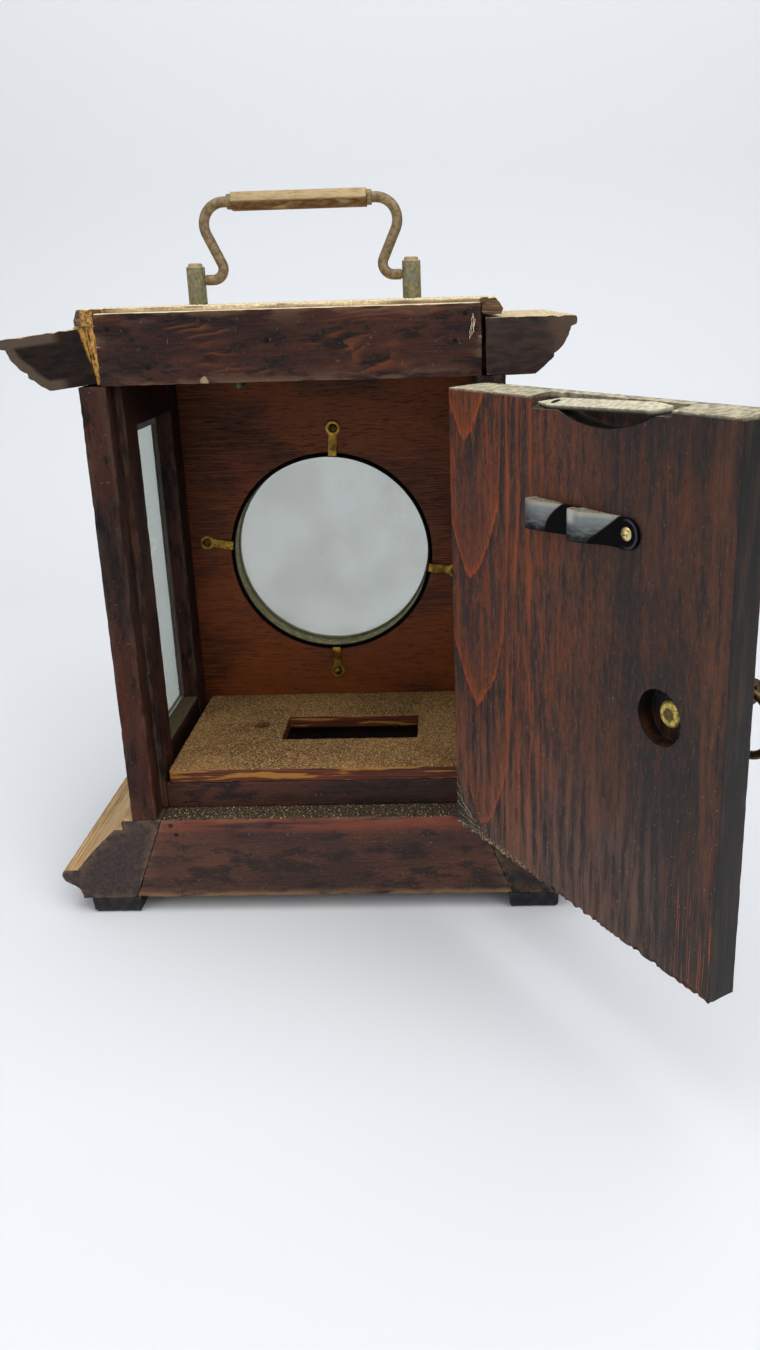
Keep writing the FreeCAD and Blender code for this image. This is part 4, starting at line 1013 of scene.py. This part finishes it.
def tangled(name, threads, radius, body, paint):
    """One piece made of several threads."""
    mesh = bmesh.new()
    for points in threads:
        thread(mesh, points, radius)
    bmesh.ops.recalc_face_normals(mesh, faces=mesh.faces)
    piece = placed(mesh, name)
    piece.data.materials.append(paint)
    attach(piece, body)


noise.seed_set(7)
rail_tuft = Vector((-0.0462, 0.0104, 0.2465))
threads = []
for k in range(4):
    start = rail_tuft + Vector((0.0003 * k, 0, 0.0006 * k))
    threads.append(wandering(start, Vector((0.0001, 0, -0.0006)), 0.0006, 9 + 2 * k, k + 1))
tangled("rail_lint", threads, 0.0001, "case", fluff_paint)

web_foot = before_door(0.5, 0.15, 0)
threads = []
for k in range(5):
    start = web_foot + Vector((0, 0, 0.001 + 0.0045 * k))
    heading = door_across * (0.0019 - 0.0003 * k) + Vector((0, 0, 0.0003 - 0.00035 * k))
    strand = []
    for point in wandering(start, heading, 0.0016, 11, k + 11):
        proud = (point - web_foot).dot(door_through)
        short = min((point - web_foot).dot(door_across), 0.0)
        strand.append(point - door_through * proud - door_across * short)
    threads.append(strand)
tangled("door_cobweb", threads, 0.00004, "door", fluff_paint)


# Stage: a pale seamless floor that curves up behind, soft studio light and a camera where the
# photograph was taken.

sweep = bmesh.new()
bend = 0.4
wall = -0.9
profile = [(wall, 1.6), (wall, 0.5)]
for turn in [math.radians(a) for a in range(90, -1, -6)]:
    profile.append((wall + bend - bend * math.sin(turn), bend - bend * math.cos(turn)))
profile.append((1.6, 0.0))
rows = [[sweep.verts.new((x, y, z)) for y, z in profile] for x in (-2.2, 2.2)]
for k in range(len(profile) - 1):
    sweep.faces.new((rows[0][k], rows[0][k + 1], rows[1][k + 1], rows[1][k]))
ground = placed(sweep, "sweep")
ground.data.shade_smooth()
ground_paint = coating("pale_paper")[0]
ground.data.materials.append(laid_on(ground_paint, tint("#d0d2d5"), 0.9))


def lamp(name, place, aim, size, power):
    """Square soft lamp that looks at a point."""
    light = bpy.data.lights.new(name, "AREA")
    light.size = size
    light.energy = power
    holder = bpy.data.objects.new(name, light)
    holder.location = place
    holder.rotation_euler = (Vector(aim) - Vector(place)).to_track_quat("-Z", "Y").to_euler()
    bpy.context.scene.collection.objects.link(holder)


lamp("window", (-0.9, 1.1, 1.2), (0, 0, 0.15), 1.2, 17)
lamp("fill", (1.1, 0.9, 0.8), (0, 0, 0.15), 1.2, 8)
lamp("overhead", (0.0, 0.1, 1.5), (0, 0, 0.1), 1.4, 18)
world = bpy.data.worlds.new("studio")
world.use_nodes = True
world.node_tree.nodes["Background"].inputs["Color"].default_value = (0.92, 0.96, 1.0, 1)
world.node_tree.nodes["Background"].inputs["Strength"].default_value = 0.4
bpy.context.scene.world = world
bpy.context.scene.view_settings.view_transform = "Standard"

lens = bpy.data.cameras.new("camera")
lens.sensor_width = 36
lens.lens = 27.389
lens.shift_x = -0.0300
lens.shift_y = -0.0466
lens.clip_start = 0.01
camera = bpy.data.objects.new("camera", lens)
camera.location = (-0.035680, 0.398861, 0.255165)
camera.rotation_euler = [math.radians(a) for a in (72.8789, 1.6959, -178.6513)]
bpy.context.scene.collection.objects.link(camera)
bpy.context.scene.camera = camera
